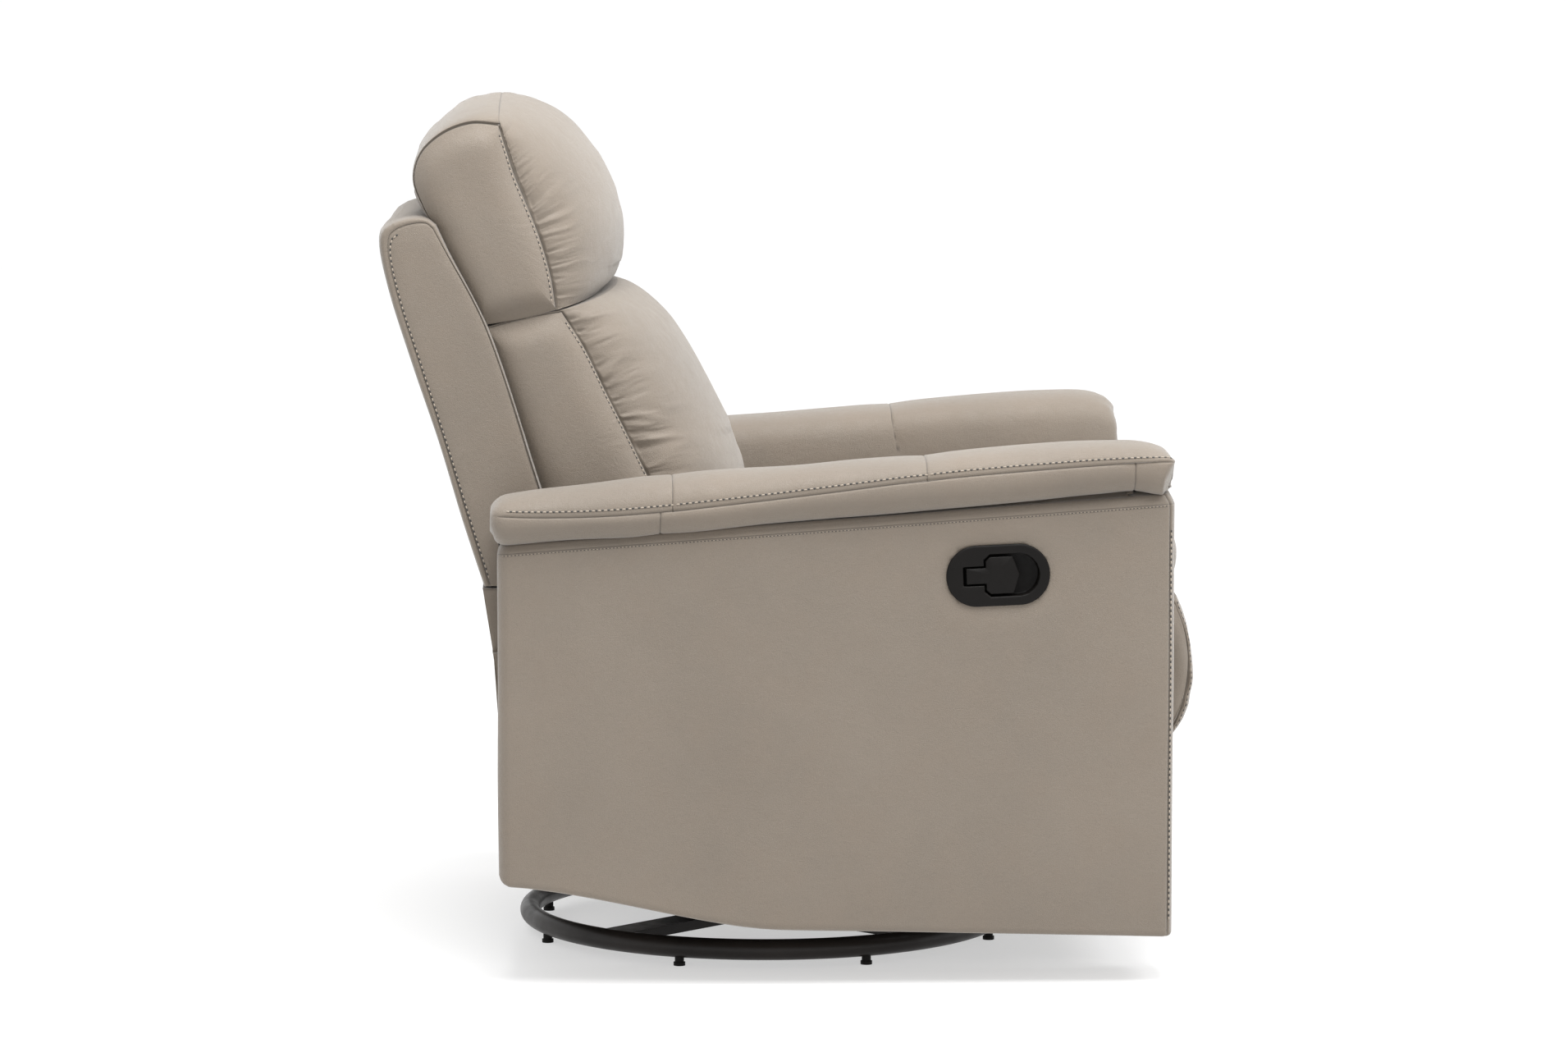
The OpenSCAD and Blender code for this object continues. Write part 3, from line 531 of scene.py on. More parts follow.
class Nodes:
    """Short names for building one material's node tree. at is the place in the piece's own frame."""

    def __init__(self, name):
        self.material = bpy.data.materials.new(name)
        self.material.use_nodes = True
        self.tree = self.material.node_tree
        self.shader = self.tree.nodes["Principled BSDF"]
        self.at = self.add("ShaderNodeTexCoord").outputs["Object"]

    def add(self, kind, inputs=None, **settings):
        node = self.tree.nodes.new(kind)
        for key, value in settings.items():
            setattr(node, key, value)
        for key, value in (inputs or {}).items():
            if isinstance(value, bpy.types.NodeSocket):
                self.tree.links.new(value, node.inputs[key])
            else:
                node.inputs[key].default_value = value
        return node

    def set(self, key, value):
        self.shader.inputs[key].default_value = value

    def link(self, value, key):
        self.tree.links.new(value, self.shader.inputs[key])

    def noise(self, vector, scale, detail=3, distortion=0.0, roughness=0.55):
        inputs = {"Vector": vector, "Scale": scale, "Detail": detail}
        inputs |= {"Distortion": distortion, "Roughness": roughness}
        return self.add("ShaderNodeTexNoise", inputs).outputs["Fac"]

    def stretched(self, scale):
        return self.add("ShaderNodeMapping", {"Vector": self.at, "Scale": scale}).outputs["Vector"]

    def ramp(self, value, low, high, to_low=0.0, to_high=1.0):
        node = self.add(
            "ShaderNodeMapRange",
            {"Value": value, "From Min": low, "From Max": high, "To Min": to_low, "To Max": to_high},
        )
        return node.outputs["Result"]

    def mix(self, share, a, b, blend="MIX"):
        node = self.add("ShaderNodeMix", data_type="RGBA", blend_type=blend)
        for key, value in ((0, share), (6, a), (7, b)):
            if isinstance(value, bpy.types.NodeSocket):
                self.tree.links.new(value, node.inputs[key])
            else:
                node.inputs[key].default_value = value
        return node.outputs[2]

    def bump(self, height, distance, strength, normal=None):
        inputs = {"Height": height, "Distance": distance, "Strength": strength}
        if normal is not None:
            inputs["Normal"] = normal
        return self.add("ShaderNodeBump", inputs).outputs["Normal"]


def shade(tint, share):
    return tuple(c * share for c in tint) + (1,)


def leather(name, tint):
    """Soft grained leather: pebbled grain, fine creases, slow colour changes, and seams darkened with painted
    shade in their grooves.
    """
    n = Nodes(name)
    slow = n.noise(n.at, 3.5, 4)
    cloud = n.noise(n.at, 18, 3)
    light = tuple(min(1, c * 1.06) for c in tint) + (1,)
    dark = shade(tint, 0.90)
    warm = (tint[0] * 1.03, tint[1] * 0.985, tint[2] * 0.95, 1)
    colour = n.mix(n.ramp(slow, 0.3, 0.7), dark, light)
    colour = n.mix(n.ramp(cloud, 0.42, 0.7, 0, 0.35), colour, warm)
    cells = n.add("ShaderNodeTexVoronoi", {"Vector": n.at, "Scale": 640}, feature="DISTANCE_TO_EDGE")
    pores = n.ramp(cells.outputs["Distance"], 0.0, 0.16)
    colour = n.mix(n.ramp(pores, 0, 1, 0.16, 0), colour, shade(tint, 0.55))
    # Painted shade: the leather is darkened along the seam grooves, as the shadow that falls in them.
    painted_shade = n.add("ShaderNodeAttribute", attribute_name="painted_shade").outputs["Fac"]
    colour = n.mix(n.ramp(painted_shade, 0.3, 1, 0, 0.75), colour, shade(tint, 0.2))
    n.link(colour, "Base Color")
    n.link(n.ramp(n.noise(n.at, 60, 3), 0.3, 0.7, 0.46, 0.60), "Roughness")
    n.set("Specular IOR Level", 0.42)
    n.set("Sheen Weight", 0.3)
    n.set("Sheen Roughness", 0.5)
    creases = n.noise(n.at, 120, 4, 1.2, 0.5)
    normal = n.bump(n.noise(n.at, 26, 3), 0.0016, 0.35)
    normal = n.bump(creases, 0.0008, 0.42, normal)
    normal = n.bump(n.noise(n.at, 330, 2), 0.0005, 0.35, normal)
    normal = n.bump(pores, 0.0003, 0.6, normal)
    n.link(normal, "Normal")
    return n.material


def painted_steel(name, tint, rough):
    n = Nodes(name)
    worn = n.noise(n.at, 9, 5)
    colour = n.mix(n.ramp(worn, 0.35, 0.75), tint + (1,), tuple(c * 1.7 + 0.004 for c in tint) + (1,))
    n.link(colour, "Base Color")
    n.link(n.ramp(n.noise(n.at, 45, 4), 0.3, 0.7, rough - 0.07, rough + 0.08), "Roughness")
    n.set("Specular IOR Level", 0.22)
    n.set("Coat Weight", 0.08)
    n.set("Coat Roughness", 0.3)
    n.link(n.bump(n.noise(n.at, 900, 2), 0.0002, 0.25), "Normal")
    return n.material


def bright_steel(name):
    n = Nodes(name)
    drawn = n.noise(n.stretched((40, 900, 900)), 1, 3)
    n.link(n.mix(n.ramp(drawn, 0.3, 0.7), (0.42, 0.43, 0.45, 1), (0.62, 0.63, 0.65, 1)), "Base Color")
    n.link(n.ramp(drawn, 0.3, 0.7, 0.28, 0.42), "Roughness")
    n.set("Metallic", 1.0)
    n.link(n.bump(drawn, 0.0002, 0.2), "Normal")
    return n.material


def black_plastic(name):
    n = Nodes(name)
    spark = n.add("ShaderNodeTexVoronoi", {"Vector": n.at, "Scale": 1500}).outputs["Distance"]
    dark, light = (0.0035, 0.003, 0.0026, 1), (0.0065, 0.0055, 0.005, 1)
    n.link(n.mix(n.noise(n.at, 30, 3), dark, light), "Base Color")
    n.set("Specular IOR Level", 0.13)
    n.link(n.ramp(n.noise(n.at, 200, 2), 0.3, 0.7, 0.42, 0.55), "Roughness")
    n.link(n.bump(spark, 0.00012, 0.5), "Normal")
    return n.material


def timber(name):
    n = Nodes(name)
    long_way = n.stretched((14, 1.6, 14))
    bands = n.add("ShaderNodeTexWave", {"Vector": long_way, "Scale": 3.2, "Distortion": 7, "Detail": 3})
    fibre = n.noise(n.stretched((300, 18, 300)), 1, 3)
    colour = n.mix(bands.outputs["Fac"], (0.50, 0.34, 0.19, 1), (0.66, 0.49, 0.30, 1))
    colour = n.mix(n.ramp(fibre, 0.45, 0.75, 0, 0.5), colour, (0.38, 0.25, 0.13, 1))
    n.link(colour, "Base Color")
    n.link(n.ramp(fibre, 0.3, 0.7, 0.55, 0.75), "Roughness")
    n.link(n.bump(fibre, 0.0004, 0.4), "Normal")
    return n.material


def thread_material(name, tint):
    n = Nodes(name)
    wave = {"Vector": n.at, "Scale": 900, "Distortion": 2}
    strand = n.add("ShaderNodeTexWave", wave, bands_direction="DIAGONAL").outputs["Fac"]
    colour = n.mix(strand, shade(tint, 0.72), tint + (1,))
    # Painted shade: the needle-hole beads are darkened nearly to black, as the shadow in the holes.
    hole = n.add("ShaderNodeAttribute", attribute_name="painted_shade").outputs["Fac"]
    n.link(n.mix(hole, colour, shade(tint, 0.05)), "Base Color")
    n.link(n.ramp(strand, 0, 1, 0.5, 0.7), "Roughness")
    n.set("Sheen Weight", 0.3)
    n.link(n.bump(strand, 0.0001, 0.5), "Normal")
    return n.material


TINT = (0.176, 0.145, 0.113)
cushion_leather = leather("cushion_leather", TINT)
panel_leather = leather("panel_leather", tuple(c * 0.98 for c in TINT))
thread = thread_material("thread", (0.37, 0.31, 0.245))
CAD_LOOKS = {
    "leather_cushion": cushion_leather,
    "leather_panel": panel_leather,
    "black_steel": painted_steel("black_steel", (0.007, 0.005, 0.004), 0.4),
    "bright_steel": bright_steel("bright_steel"),
    "black_plastic": black_plastic("black_plastic"),
    "frame_wood": timber("frame_wood"),
}

for part in frame["record"]["subparts"]:
    node = frame["nodes"][part["node"]]
    node.data.materials.clear()
    node.data.materials.append(CAD_LOOKS[part["material_slot"]])

stitches = {"chassis": Thread(), "back": Thread(), "seat": Thread(), "footrest": Thread()}


def add_piece(skin, name, body, nodes, slot="leather_cushion"):
    """Makes a skin's object: what it rides on, the CAD nodes it replaces and its finish."""
    obj = skin.object(name, CAD_LOOKS[slot])
    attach(obj, body)
    if nodes:
        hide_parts(*nodes)
    return obj


def stitch_seams(skin, body, panels, offset=STITCH_OFFSET, front=False, trim=1):
    """A row of stitches beside both side seams, along the given panels."""
    normals = skin.normals()
    for sign in (LEFT, RIGHT):
        column = skin.column(sign, offset, front)
        for panel in panels:
            rows = np.where(skin.panel == panel)[0][trim : -trim or None]
            stitches[body].add(skin.p[rows, column], normals[rows, column])


# ---- back: head cushion, lumbar cushion, padded shell ----

HEAD_SIDE = closed(
    [(258, 815), (270, 858), (284, 897), (299, 935), (309, 966), (318, 994)],
    [(352, 996), (385, 984), (411, 960), (419, 930), (408, 898), (392, 869)],
    [(366, 816), (338, 760)],
    [(295, 767), (252, 778)],
)
HEAD_MIDDLE = closed(
    [(181, 808), (175, 848), (178, 889), (193, 928), (216, 967), (254, 1001), (288, 1018), (319, 1022)],
    [(345, 1019), (377, 1005), (399, 986), (418, 954), (421, 925), (408, 895), (392, 869)],
    [(366, 816), (338, 760)],
    [(285, 768), (222, 779), (198, 791)],
)
head = Cushion(HEAD_SIDE, HEAD_MIDDLE, 268, 2.35, 95, 18, step=(1.8, 5.5), coarse=(2, 3))
simulate(head, head.held([2, 3]), head.loose([0, 1]), 0.025, shift=2)
head.gather([0], 64, 2.7, 11, sides=0.1)
head.side_seams([0, 1])
head.cross_seam(1, 0.9)
undulate(head, 95, 1.6, 21)
add_piece(head, "head_cover", "back", ["head_cushion"])
stitch_seams(head, "back", [0])

LUMBAR_SIDE = closed(
    [(124, 540), (146, 582), (165, 621), (194, 679), (222, 737), (247, 776)],
    [(292, 768), (336, 757)],
    [(306, 668), (275, 579), (250, 500), (238, 462)],
    [(175, 468), (125, 484), (112, 500)],
)
LUMBAR_MIDDLE = closed(
    [(20, 520), (28, 564), (38, 606), (57, 639), (78, 680), (99, 720), (125, 760), (145, 780), (162, 791),
     (180, 796)],
    [(240, 778), (336, 757)],
    [(306, 668), (275, 579), (250, 500), (238, 462)],
    [(140, 468), (50, 480), (22, 492)],
)
lumbar = Cushion(LUMBAR_SIDE, LUMBAR_MIDDLE, 266, 2.35, 100, 18, step=(1.8, 5.5), coarse=(1, 2, 3))
simulate(lumbar, lumbar.held([1, 2, 3]), lumbar.loose([0]), 0.035, shift=3)
lumbar.gather([0], 80, 3.4, 31, sides=0.1)
lumbar.side_seams([0, 1])
undulate(lumbar, 110, 2.0, 41)
add_piece(lumbar, "lumbar_cover", "back", ["lumbar_cushion"])
stitch_seams(lumbar, "back", [0])

SHELL_SIDE = closed(
    [(356, 533), (384, 627), (412, 716), (438, 800), (448, 851), (446, 866), (437, 874)],
    [(422, 879), (404, 880), (396, 874)],
    [(382, 848), (337, 762), (277, 579), (250, 492), (244, 462)],
    [(290, 457), (332, 456)],
)
SHELL_MIDDLE = closed(
    [(366, 531), (394, 627), (422, 713), (448, 798), (459, 853), (457, 871), (443, 881)],
    [(425, 886), (405, 886), (392, 878)],
    [(378, 848), (333, 760), (273, 579), (246, 492), (240, 462)],
    [(290, 453), (341, 453)],
)
shell = Cushion(SHELL_SIDE, SHELL_MIDDLE, 289, 7, 14, 1.5, step=(6, 12), dome=6)
shell.side_seams([0, 1, 2], 1.3)
undulate(shell, 140, 1.2, 51)
add_piece(shell, "back_shell_cover", "back", ["back_rear_panel", "back_wing_left", "back_wing_right"],
          "leather_panel")
stitch_seams(shell, "back", [0], offset=3.6)

# ---- seat cushion ----

SEAT_SIDE = closed(
    [(-468, 476), (-462, 506), (-446, 514)],
    [(-400, 513), (-230, 496), (-60, 474), (40, 464), (62, 458)],
    [(64, 440), (58, 428)],
    [(-200, 428), (-350, 438), (-400, 450), (-462, 452)],
)
SEAT_MIDDLE = closed(
    [(-480, 474), (-482, 500), (-468, 526)],
    [(-420, 535), (-300, 534), (-140, 510), (-20, 484), (62, 470)],
    [(66, 446), (60, 426)],
    [(-200, 426), (-350, 436), (-400, 449), (-470, 453)],
)
seat = Cushion(SEAT_SIDE, SEAT_MIDDLE, 282, 3.0, 60, 10, step=(3.5, 7), coarse=(2, 3))
simulate(seat, seat.held([2, 3], [1]), seat.loose([0, 1]), 0.03, shift=2)
seat.gather([0, 1], 55, 1.8, 61, sides=0.2)
seat.side_seams([0, 1, 2])
seat.cross_seam(1)
undulate(seat, 120, 2.2, 71)
add_piece(seat, "seat_cover", "seat", ["seat_cushion"])
stitch_seams(seat, "seat", [1], offset=STITCH_OFFSET, front=True)

# ---- gusset that closes the gap between the seat and the back ----

GUSSET = closed(
    [(62, 454), (96, 456), (128, 464)],
    [(126, 459)],
    [(96, 450), (62, 448), (30, 446)],
    [(30, 452)],
)
gusset = Cushion(GUSSET, GUSSET, 264, 6, 2, 1, step=(4, 10), dome=6)
undulate(gusset, 50, 1.2, 161)
gusset_piece = gusset.object("seat_back_gusset", panel_leather)
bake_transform(gusset_piece)

# ---- footrest pad ----

FOOT_SIDE = closed(
    [(-455, 122), (-457, 170), (-458, 236), (-461, 262)],
    [(-470, 284), (-483, 312), (-490, 355), (-485, 396), (-472, 432)],
    [(-458, 433), (-441, 431), (-436, 427)],
    [(-436, 280), (-436, 124)],
    [(-440, 119), (-452, 119)],
)
FOOT_MIDDLE = closed(
    [(-457, 118), (-461, 170), (-462, 236), (-466, 262)],
    [(-480, 272), (-494, 289), (-503, 320), (-504, 346), (-497, 381), (-487, 419), (-479, 437)],
    [(-460, 440), (-441, 434), (-436, 427)],
    [(-436, 280), (-436, 124)],
    [(-440, 115), (-452, 115)],
)
foot = Cushion(FOOT_SIDE, FOOT_MIDDLE, 284, 3.2, 20, 7, step=(3.5, 7), coarse=(3, 4))
simulate(foot, foot.held([2, 3, 4], [1]), foot.loose([0, 1]), 0.025)
foot.gather([1], 45, 1.3, 81, sides=0.1)
foot.side_seams([0, 1, 2])
foot.cross_seam(1)
undulate(foot, 110, 1.8, 91)
add_piece(foot, "footrest_cover", "footrest", ["footrest_pad"])
stitch_seams(foot, "footrest", [1], front=True)

# ---- arms ----

ARM_MID_X, ARM_MID_Y = 353.5, -66
ARM_OUT_X = 405
ARM_REAR, ARM_FRONT = 322, -454
ARM_LENGTH = ARM_REAR - ARM_FRONT
CORNER = 11
PANEL_SEAM = 10.4
# The handle cup's middle as (y, z), its tilt, and its slot shape: half the straight part, and the radius
CUP_PLACE = (-255, 479)
CUP_TILT = math.radians(2.5)
CUP_STRAIGHT, CUP_RADIUS = 24.5, 35.5
CUT_SIDES = 72


def panel_low(y):
    """The side panel's lower edge: lower at the front, with a rounded rear corner."""
    t = np.clip((y + 10) / 332, 0, 1)
    low = 55 + 0.026 * (y - ARM_FRONT) + 43 * t * t * (3 - 2 * t)
    corner = np.clip(y - (ARM_REAR - CORNER), 0, CORNER - 0.1)
    return low + CORNER - np.sqrt(CORNER**2 - corner**2)


def panel_high(y):
    """The side panel's upper edge, which rises towards the front."""
    return 515 + 56 * (ARM_REAR - y) / ARM_LENGTH


# The arm pad from the side, as (y, z): its outer lip seam, its top and its underside
PAD_LIP = Curve([(323, 551), (289, 549), (200, 550), (120, 556), (-49, 575), (-170, 590), (-332, 604),
                 (-410, 609), (-457, 611)], 30)
PAD_CROWN = Curve([(323, 560), (311, 568), (289, 573), (233, 580), (119, 593), (-52, 605), (-174, 615),
                   (-290, 625), (-375, 630), (-428, 629), (-450, 622), (-459, 614)], 30)
PAD_UNDER = Curve([(323, 514), (228, 520), (134, 526), (-50, 543), (-239, 559), (-409, 573), (-435, 570),
                   (-457, 568)], 30)
PAD_TOP_SEAMS = (120, -172)
PAD_LIP_SEAMS = (134, -412)


def arm_cover(sign):
    """Outer panel, front strip and inner panel of one arm, as one skin round the arm."""
    ys = np.concatenate([[308, 303, 298], np.arange(290, -440, -9), [-440, -446, -449.5]])
    outer = [(ARM_MID_X + t, ARM_REAR) for t in (0, 12, 24, 32)]
    outer += [(391 + 14 * math.sin(a), 308 + 14 * math.cos(a)) for a in np.radians([10, 30, 50, 70, 85])]
    outer += [(ARM_OUT_X, y) for y in ys]
    outer += [(404.6, -451.5), (403.6, -453), (402.2, -453.9)]
    seam_row = len(outer) - 1
    strip = np.radians([3, 7, 12, 20, 30, 42, 56, 72])
    outer += [(ARM_MID_X + 48.7 * math.cos(a), -454 - 8.2 * math.sin(a) ** 0.8) for a in strip]
    outer += [(ARM_MID_X, -462.2)]
    half = np.array(outer)
    plan = np.vstack([half, [(2 * ARM_MID_X - x, y) for x, y in half[-2:0:-1]]])
    rows = len(plan)

    low, high = panel_low(plan[:, 1]), panel_high(np.maximum(plan[:, 1], ARM_FRONT))
    inset = [(6, 0.5), (2.5, 0.2), (0.8, 1.6), (0, 4), (0, 8)]
    columns = [(low + up, back) for back, up in inset]
    for share in np.linspace(0, 1, 46)[1:]:
        columns.append((low + 8 + (high - 40 - low - 8) * share, 0))
    for below in (32, 24, 18, 14.5, 12.5, 11.2, 10.4, 9.6, 8.4, 6, 3, 0):
        columns.append((high - below, 0.55 * max(0, PANEL_SEAM - below)))
    under = np.interp(-plan[:, 1], -PAD_UNDER.points[:, 0], PAD_UNDER.points[:, 1])
    under = high + (under - high) * smooth_step((plan[:, 1] + 442) / 12)
    columns += [(high + 0.5, 9), (np.maximum(under - 4, high + 1), 15), (np.maximum(under + 3, high + 2), 19)]
    points = np.zeros((rows, len(columns) + 2, 3))
    for j, (z, back) in enumerate(columns):
        inward = np.array(plan)
        inward[:, 0] -= np.sign(plan[:, 0] - ARM_MID_X) * np.minimum(back, np.abs(plan[:, 0] - ARM_MID_X))
        from_middle = plan[:, 1] - ARM_MID_Y
        inward[:, 1] -= np.sign(from_middle) * back * (np.abs(from_middle) > 350)
        points[:, j + 1, :2] = inward
        points[:, j + 1, 2] = z
    points[:, 0] = (ARM_MID_X, ARM_MID_Y, 80)
    points[:, -1] = (ARM_MID_X, ARM_MID_Y, 556)
    points[..., 0] *= sign
    skin = Skin(points)

    p = skin.p
    y, z = p[..., 1], p[..., 2]
    outside = np.abs(p[..., 0]) > 400
    share_y = np.clip((ARM_REAR - y) / ARM_LENGTH, 0, 1)
    share_z = np.clip((z - 60) / 460, 0, 1)
    puff = 2.4 * np.sin(math.pi * share_y) ** 0.6 * np.sin(math.pi * share_z) ** 0.6
    skin.push(np.where(outside, puff, 0.4 * puff) * (np.abs(y - ARM_MID_Y) < 380))
    if sign == RIGHT:
        forward, up = cup_frame(y, z)
        edge = np.hypot(np.maximum(np.abs(forward) - CUP_STRAIGHT, 0), up) - CUP_RADIUS
        skin.push(-2.2 * np.exp(-(np.maximum(edge, -1) / 9) ** 2) * outside)
    undulate(skin, 130, 0.9, 101 if sign > 0 else 111)
    top = panel_high(y) - PANEL_SEAM
    skin.seam(np.abs(z - top), 1.0 * (z > top - 30) * (z < top + 9.5), 0.9, 1.0)
    ring = np.arange(rows)
    for row in (seam_row, rows - seam_row):
        away = np.array([np.linalg.norm(plan[i] - plan[row]) for i in ring])
        fade = smooth_step((z - panel_low(y)) / 6)
        skin.seam(away[:, None] + 0 * z, fade, 1.2, 1.0)
    normals = skin.normals()
    upper = list(range(6, points.shape[1] - 16))
    for row in (seam_row + 2, rows - seam_row - 2):
        stitches["chassis"].add(p[row, upper], normals[row, upper])
    seam_column = int(np.argmin(np.abs(z - top)[30]))
    outer_rows, below = np.arange(6, seam_row - 2), seam_column - 2
    stitches["chassis"].add(p[outer_rows, below], normals[outer_rows, below], 4.2, 2.4, 0.35)
    return skin


def cup_frame(y, z):
    """Place on the side panel as (forward, up) from the middle of the handle cup."""
    f, u = -(y - CUP_PLACE[0]), z - CUP_PLACE[1]
    c, s = math.cos(CUP_TILT), math.sin(CUP_TILT)
    return f * c + u * s, -f * s + u * c


def cup_points(forward, up, out):
    """Points given as (forward, up) from the middle of the cup, out from the side panel's face."""
    c, s = math.cos(CUP_TILT), math.sin(CUP_TILT)
    y = CUP_PLACE[0] - (forward * c - up * s)
    z = CUP_PLACE[1] + forward * s + up * c
    return np.stack([-ARM_OUT_X - out + 0 * y, y, z], -1)


def stadium(half_length, radius, angles):
    """Points of a slot's outline, in the directions of angles from its middle."""
    c, s = np.cos(angles), np.sin(angles)
    flat = radius / np.maximum(np.abs(s), 1e-9)
    b = half_length * np.abs(c)
    round_end = b + np.sqrt(np.maximum(b * b - half_length**2 + radius**2, 0))
    reach = np.where(flat * np.abs(c) <= half_length, flat, round_end)
    return reach * c, reach * s


def cut_for_cup(cover):
    """Cuts the handle cup's hole through the arm cover's outer side."""
    forward, up = stadium(CUP_STRAIGHT, 31.5, np.linspace(0, 2 * math.pi, CUT_SIDES, endpoint=False))
    rings = [cup_points(forward, up, out) for out in (30, -40)]
    near = np.arange(CUT_SIDES)
    after = (near + 1) % CUT_SIDES
    walls = np.stack([near, after, CUT_SIDES + after, CUT_SIDES + near], -1).tolist()
    ends = [near[::-1].tolist(), (CUT_SIDES + near).tolist()]
    cutter = mesh_object("cutter", np.vstack(rings), walls + ends, panel_leather)
    turned = bmesh.new()
    turned.from_mesh(cutter.data)
    bmesh.ops.recalc_face_normals(turned, faces=turned.faces)
    turned.to_mesh(cutter.data)
    turned.free()
    cut = cover.modifiers.new("cup", "BOOLEAN")
    cut.object = cutter
    cut.operation = "DIFFERENCE"
    cut.solver = "EXACT"
    bpy.context.view_layer.update()
    graph = bpy.context.evaluated_depsgraph_get()
    cut_mesh = bpy.data.meshes.new_from_object(cover.evaluated_get(graph))
    cover.modifiers.clear()
    cover.data = cut_mesh
    bpy.data.objects.remove(cutter)


for sign, side in ((LEFT, "left"), (RIGHT, "right")):
    nodes = ["arm_outer_" + side, "arm_front_" + side, "arm_inner_" + side]
    cover = add_piece(arm_cover(sign), "arm_cover_" + side, "chassis", nodes, "leather_panel")
    if sign == RIGHT:
        cut_for_cup(cover)


def read(curve, y):
    """The height of an arm pad curve at y."""
    return float(np.interp(-y, -curve.points[:, 0], curve.points[:, 1]))


def arm_pad(sign):
    """One arm pad: sections along the arm, drawn in where it ends, with its seams pressed in."""
    ys = set(np.round(np.arange(308, -446, -6.5), 1))
    for m in PAD_TOP_SEAMS + PAD_LIP_SEAMS:
        ys = {y for y in ys if abs(y - m) > 8}
        ys |= {m + d for d in (-6.5, -4, -2, -0.9, 0, 0.9, 2, 4, 6.5)}
    stations = [(322.6, 0.74), (322.0, 0.80), (320.2, 0.88), (317.0, 0.945), (312.8, 0.985)]
    stations += [(y, 1.0) for y in sorted(ys, reverse=True)]
    stations += [(-448.5, 0.995), (-452, 0.98), (-455, 0.95), (-457.5, 0.90), (-459, 0.83)]
    sections = []
    for y, keep in stations:
        zl, zc, zu = read(PAD_LIP, y), read(PAD_CROWN, y), read(PAD_UNDER, y)
        zd = 455 + (300 - min(y, 300)) / 752 * 50
        rise = max(zc - zl, 3)
        top = Curve([(420, zl), (417.5, zl + 0.36 * rise), (406, zl + 0.76 * rise), (386, zc - 0.9),
                     (360, zc), (334, zc - 2), (314, zc - 9), (301, zc - 25), (296, zc - 50),
                     (295, zc - 78), (296.5, zd + 5), (299.5, zd)])
        low = Curve([(299.5, zd), (302.5, zd + 4), (303.5, zu - 6), (310, zu), (340, zu + 1), (388, zu),
                     (402, zu + 1), (412, zu + 7), (418.5, zu + 16), (420.5, zl - 7), (420, zl)])
        a, b = spacing(top.length, 6.5), spacing(low.length, 8)
        if not sections:
            share_a, share_b = a / a[-1], b / b[-1]
            dist = np.concatenate([np.minimum(a, 999)[:-1], (b[-1] - b)[:-1]])
            upper = np.concatenate([np.ones(len(a) - 1, bool), np.zeros(len(b) - 1, bool)])
        loop = np.vstack([top.at(share_a)[:-1], low.at(share_b)[:-1]])
        middle = np.array([362, (zl + zu) / 2 + 8])
        loop = middle + (loop - middle) * keep
        back = 10 * smooth_step((-y - 440) / 19) * np.clip((zl - loop[:, 1]) / 24, 0, 1)
        back = back * smooth_step((loop[:, 0] - 296) / 90)
        back += 13 * smooth_step((-y - 435) / 20) * smooth_step((zu + 2 - loop[:, 1]) / 10)
        ahead = 4 * smooth_step((-y - 425) / 30) * smooth_step((350 - loop[:, 0]) / 40)
        ahead = ahead * smooth_step((zl - loop[:, 1]) / 30)
        back += 6.5 * smooth_step((y - 290) / 30) * np.clip((loop[:, 1] - zu) / 26, -0.4, 1)
        sections.append(np.column_stack([loop[:, 0], y - ahead + back, loop[:, 1]]))
    first, last = sections[0], sections[-1]
    for keep, out in ((0.6, 0.6), (0.3, 0.9)):
        c = first.mean(0)
        sections.insert(0, c + (first - c) * (keep, 1, keep) + (0, out, 0))
    for keep, out in ((0.86, -1.6), (0.6, -2.6), (0.3, -3.0)):
        c = last.mean(0)
        sections.append(c + (last - c) * (keep, 0.6, keep) + (0, out, 0))
    points = np.stack(sections, 1)
    rear_pole = np.broadcast_to(points[:, 0].mean(0), (len(points), 1, 3))
    front_pole = np.broadcast_to(points[:, -1].mean(0), (len(points), 1, 3))
    points = np.concatenate([rear_pole, points, front_pole], 1)
    points[..., 0] *= sign
    skin = Skin(points)

    y = skin.p[..., 1]
    lip = dist[:, None]
    drop = np.clip((600 - skin.p[..., 2]) / 80, 0, 1) * (np.abs(skin.p[..., 0]) < 330)
    rear_top, front_top = PAD_TOP_SEAMS
    rear_lip, front_lip = PAD_LIP_SEAMS
    top_cross = np.minimum(np.abs(y - rear_top), np.abs(y - front_top + 14 * drop))
    lip_cross = np.minimum(np.abs(y - rear_lip), np.abs(y - front_lip))
    cross = np.where(upper[:, None], top_cross, lip_cross)
    body = smooth_step((y + 462) / 10) * smooth_step((323 - y) / 6)
    skin.push(-1.3 * np.exp(-((cross / 22) ** 2)) * body)
    tip = smooth_step((-y - 405) / 35) * upper[:, None]
    skin.push(gathers(lip * 0.9 + 40, np.abs(y + 462), 40, 2.0, 121) * tip)
    undulate(skin, 75, 1.1, 131 + sign)
    skin.seam(lip + 0 * y, body, 1.6, 1.1)
    skin.seam(cross, body, 1.2, 1.0)
    normals = skin.normals()
    row = int(np.argmin(np.abs(dist - STITCH_OFFSET) + 100 * ~upper))
    cols = np.where((y[row] < 318) & (y[row] > -456))[0]
    stitches["chassis"].add(skin.p[row, cols], normals[row, cols], 7.0, 3.8)
    return skin


for sign, side in ((LEFT, "left"), (RIGHT, "right")):
    add_piece(arm_pad(sign), "arm_pad_cover_" + side, "chassis", ["arm_pad_" + side])

# ---- rear skirt, with the soft flap between it and the back ----

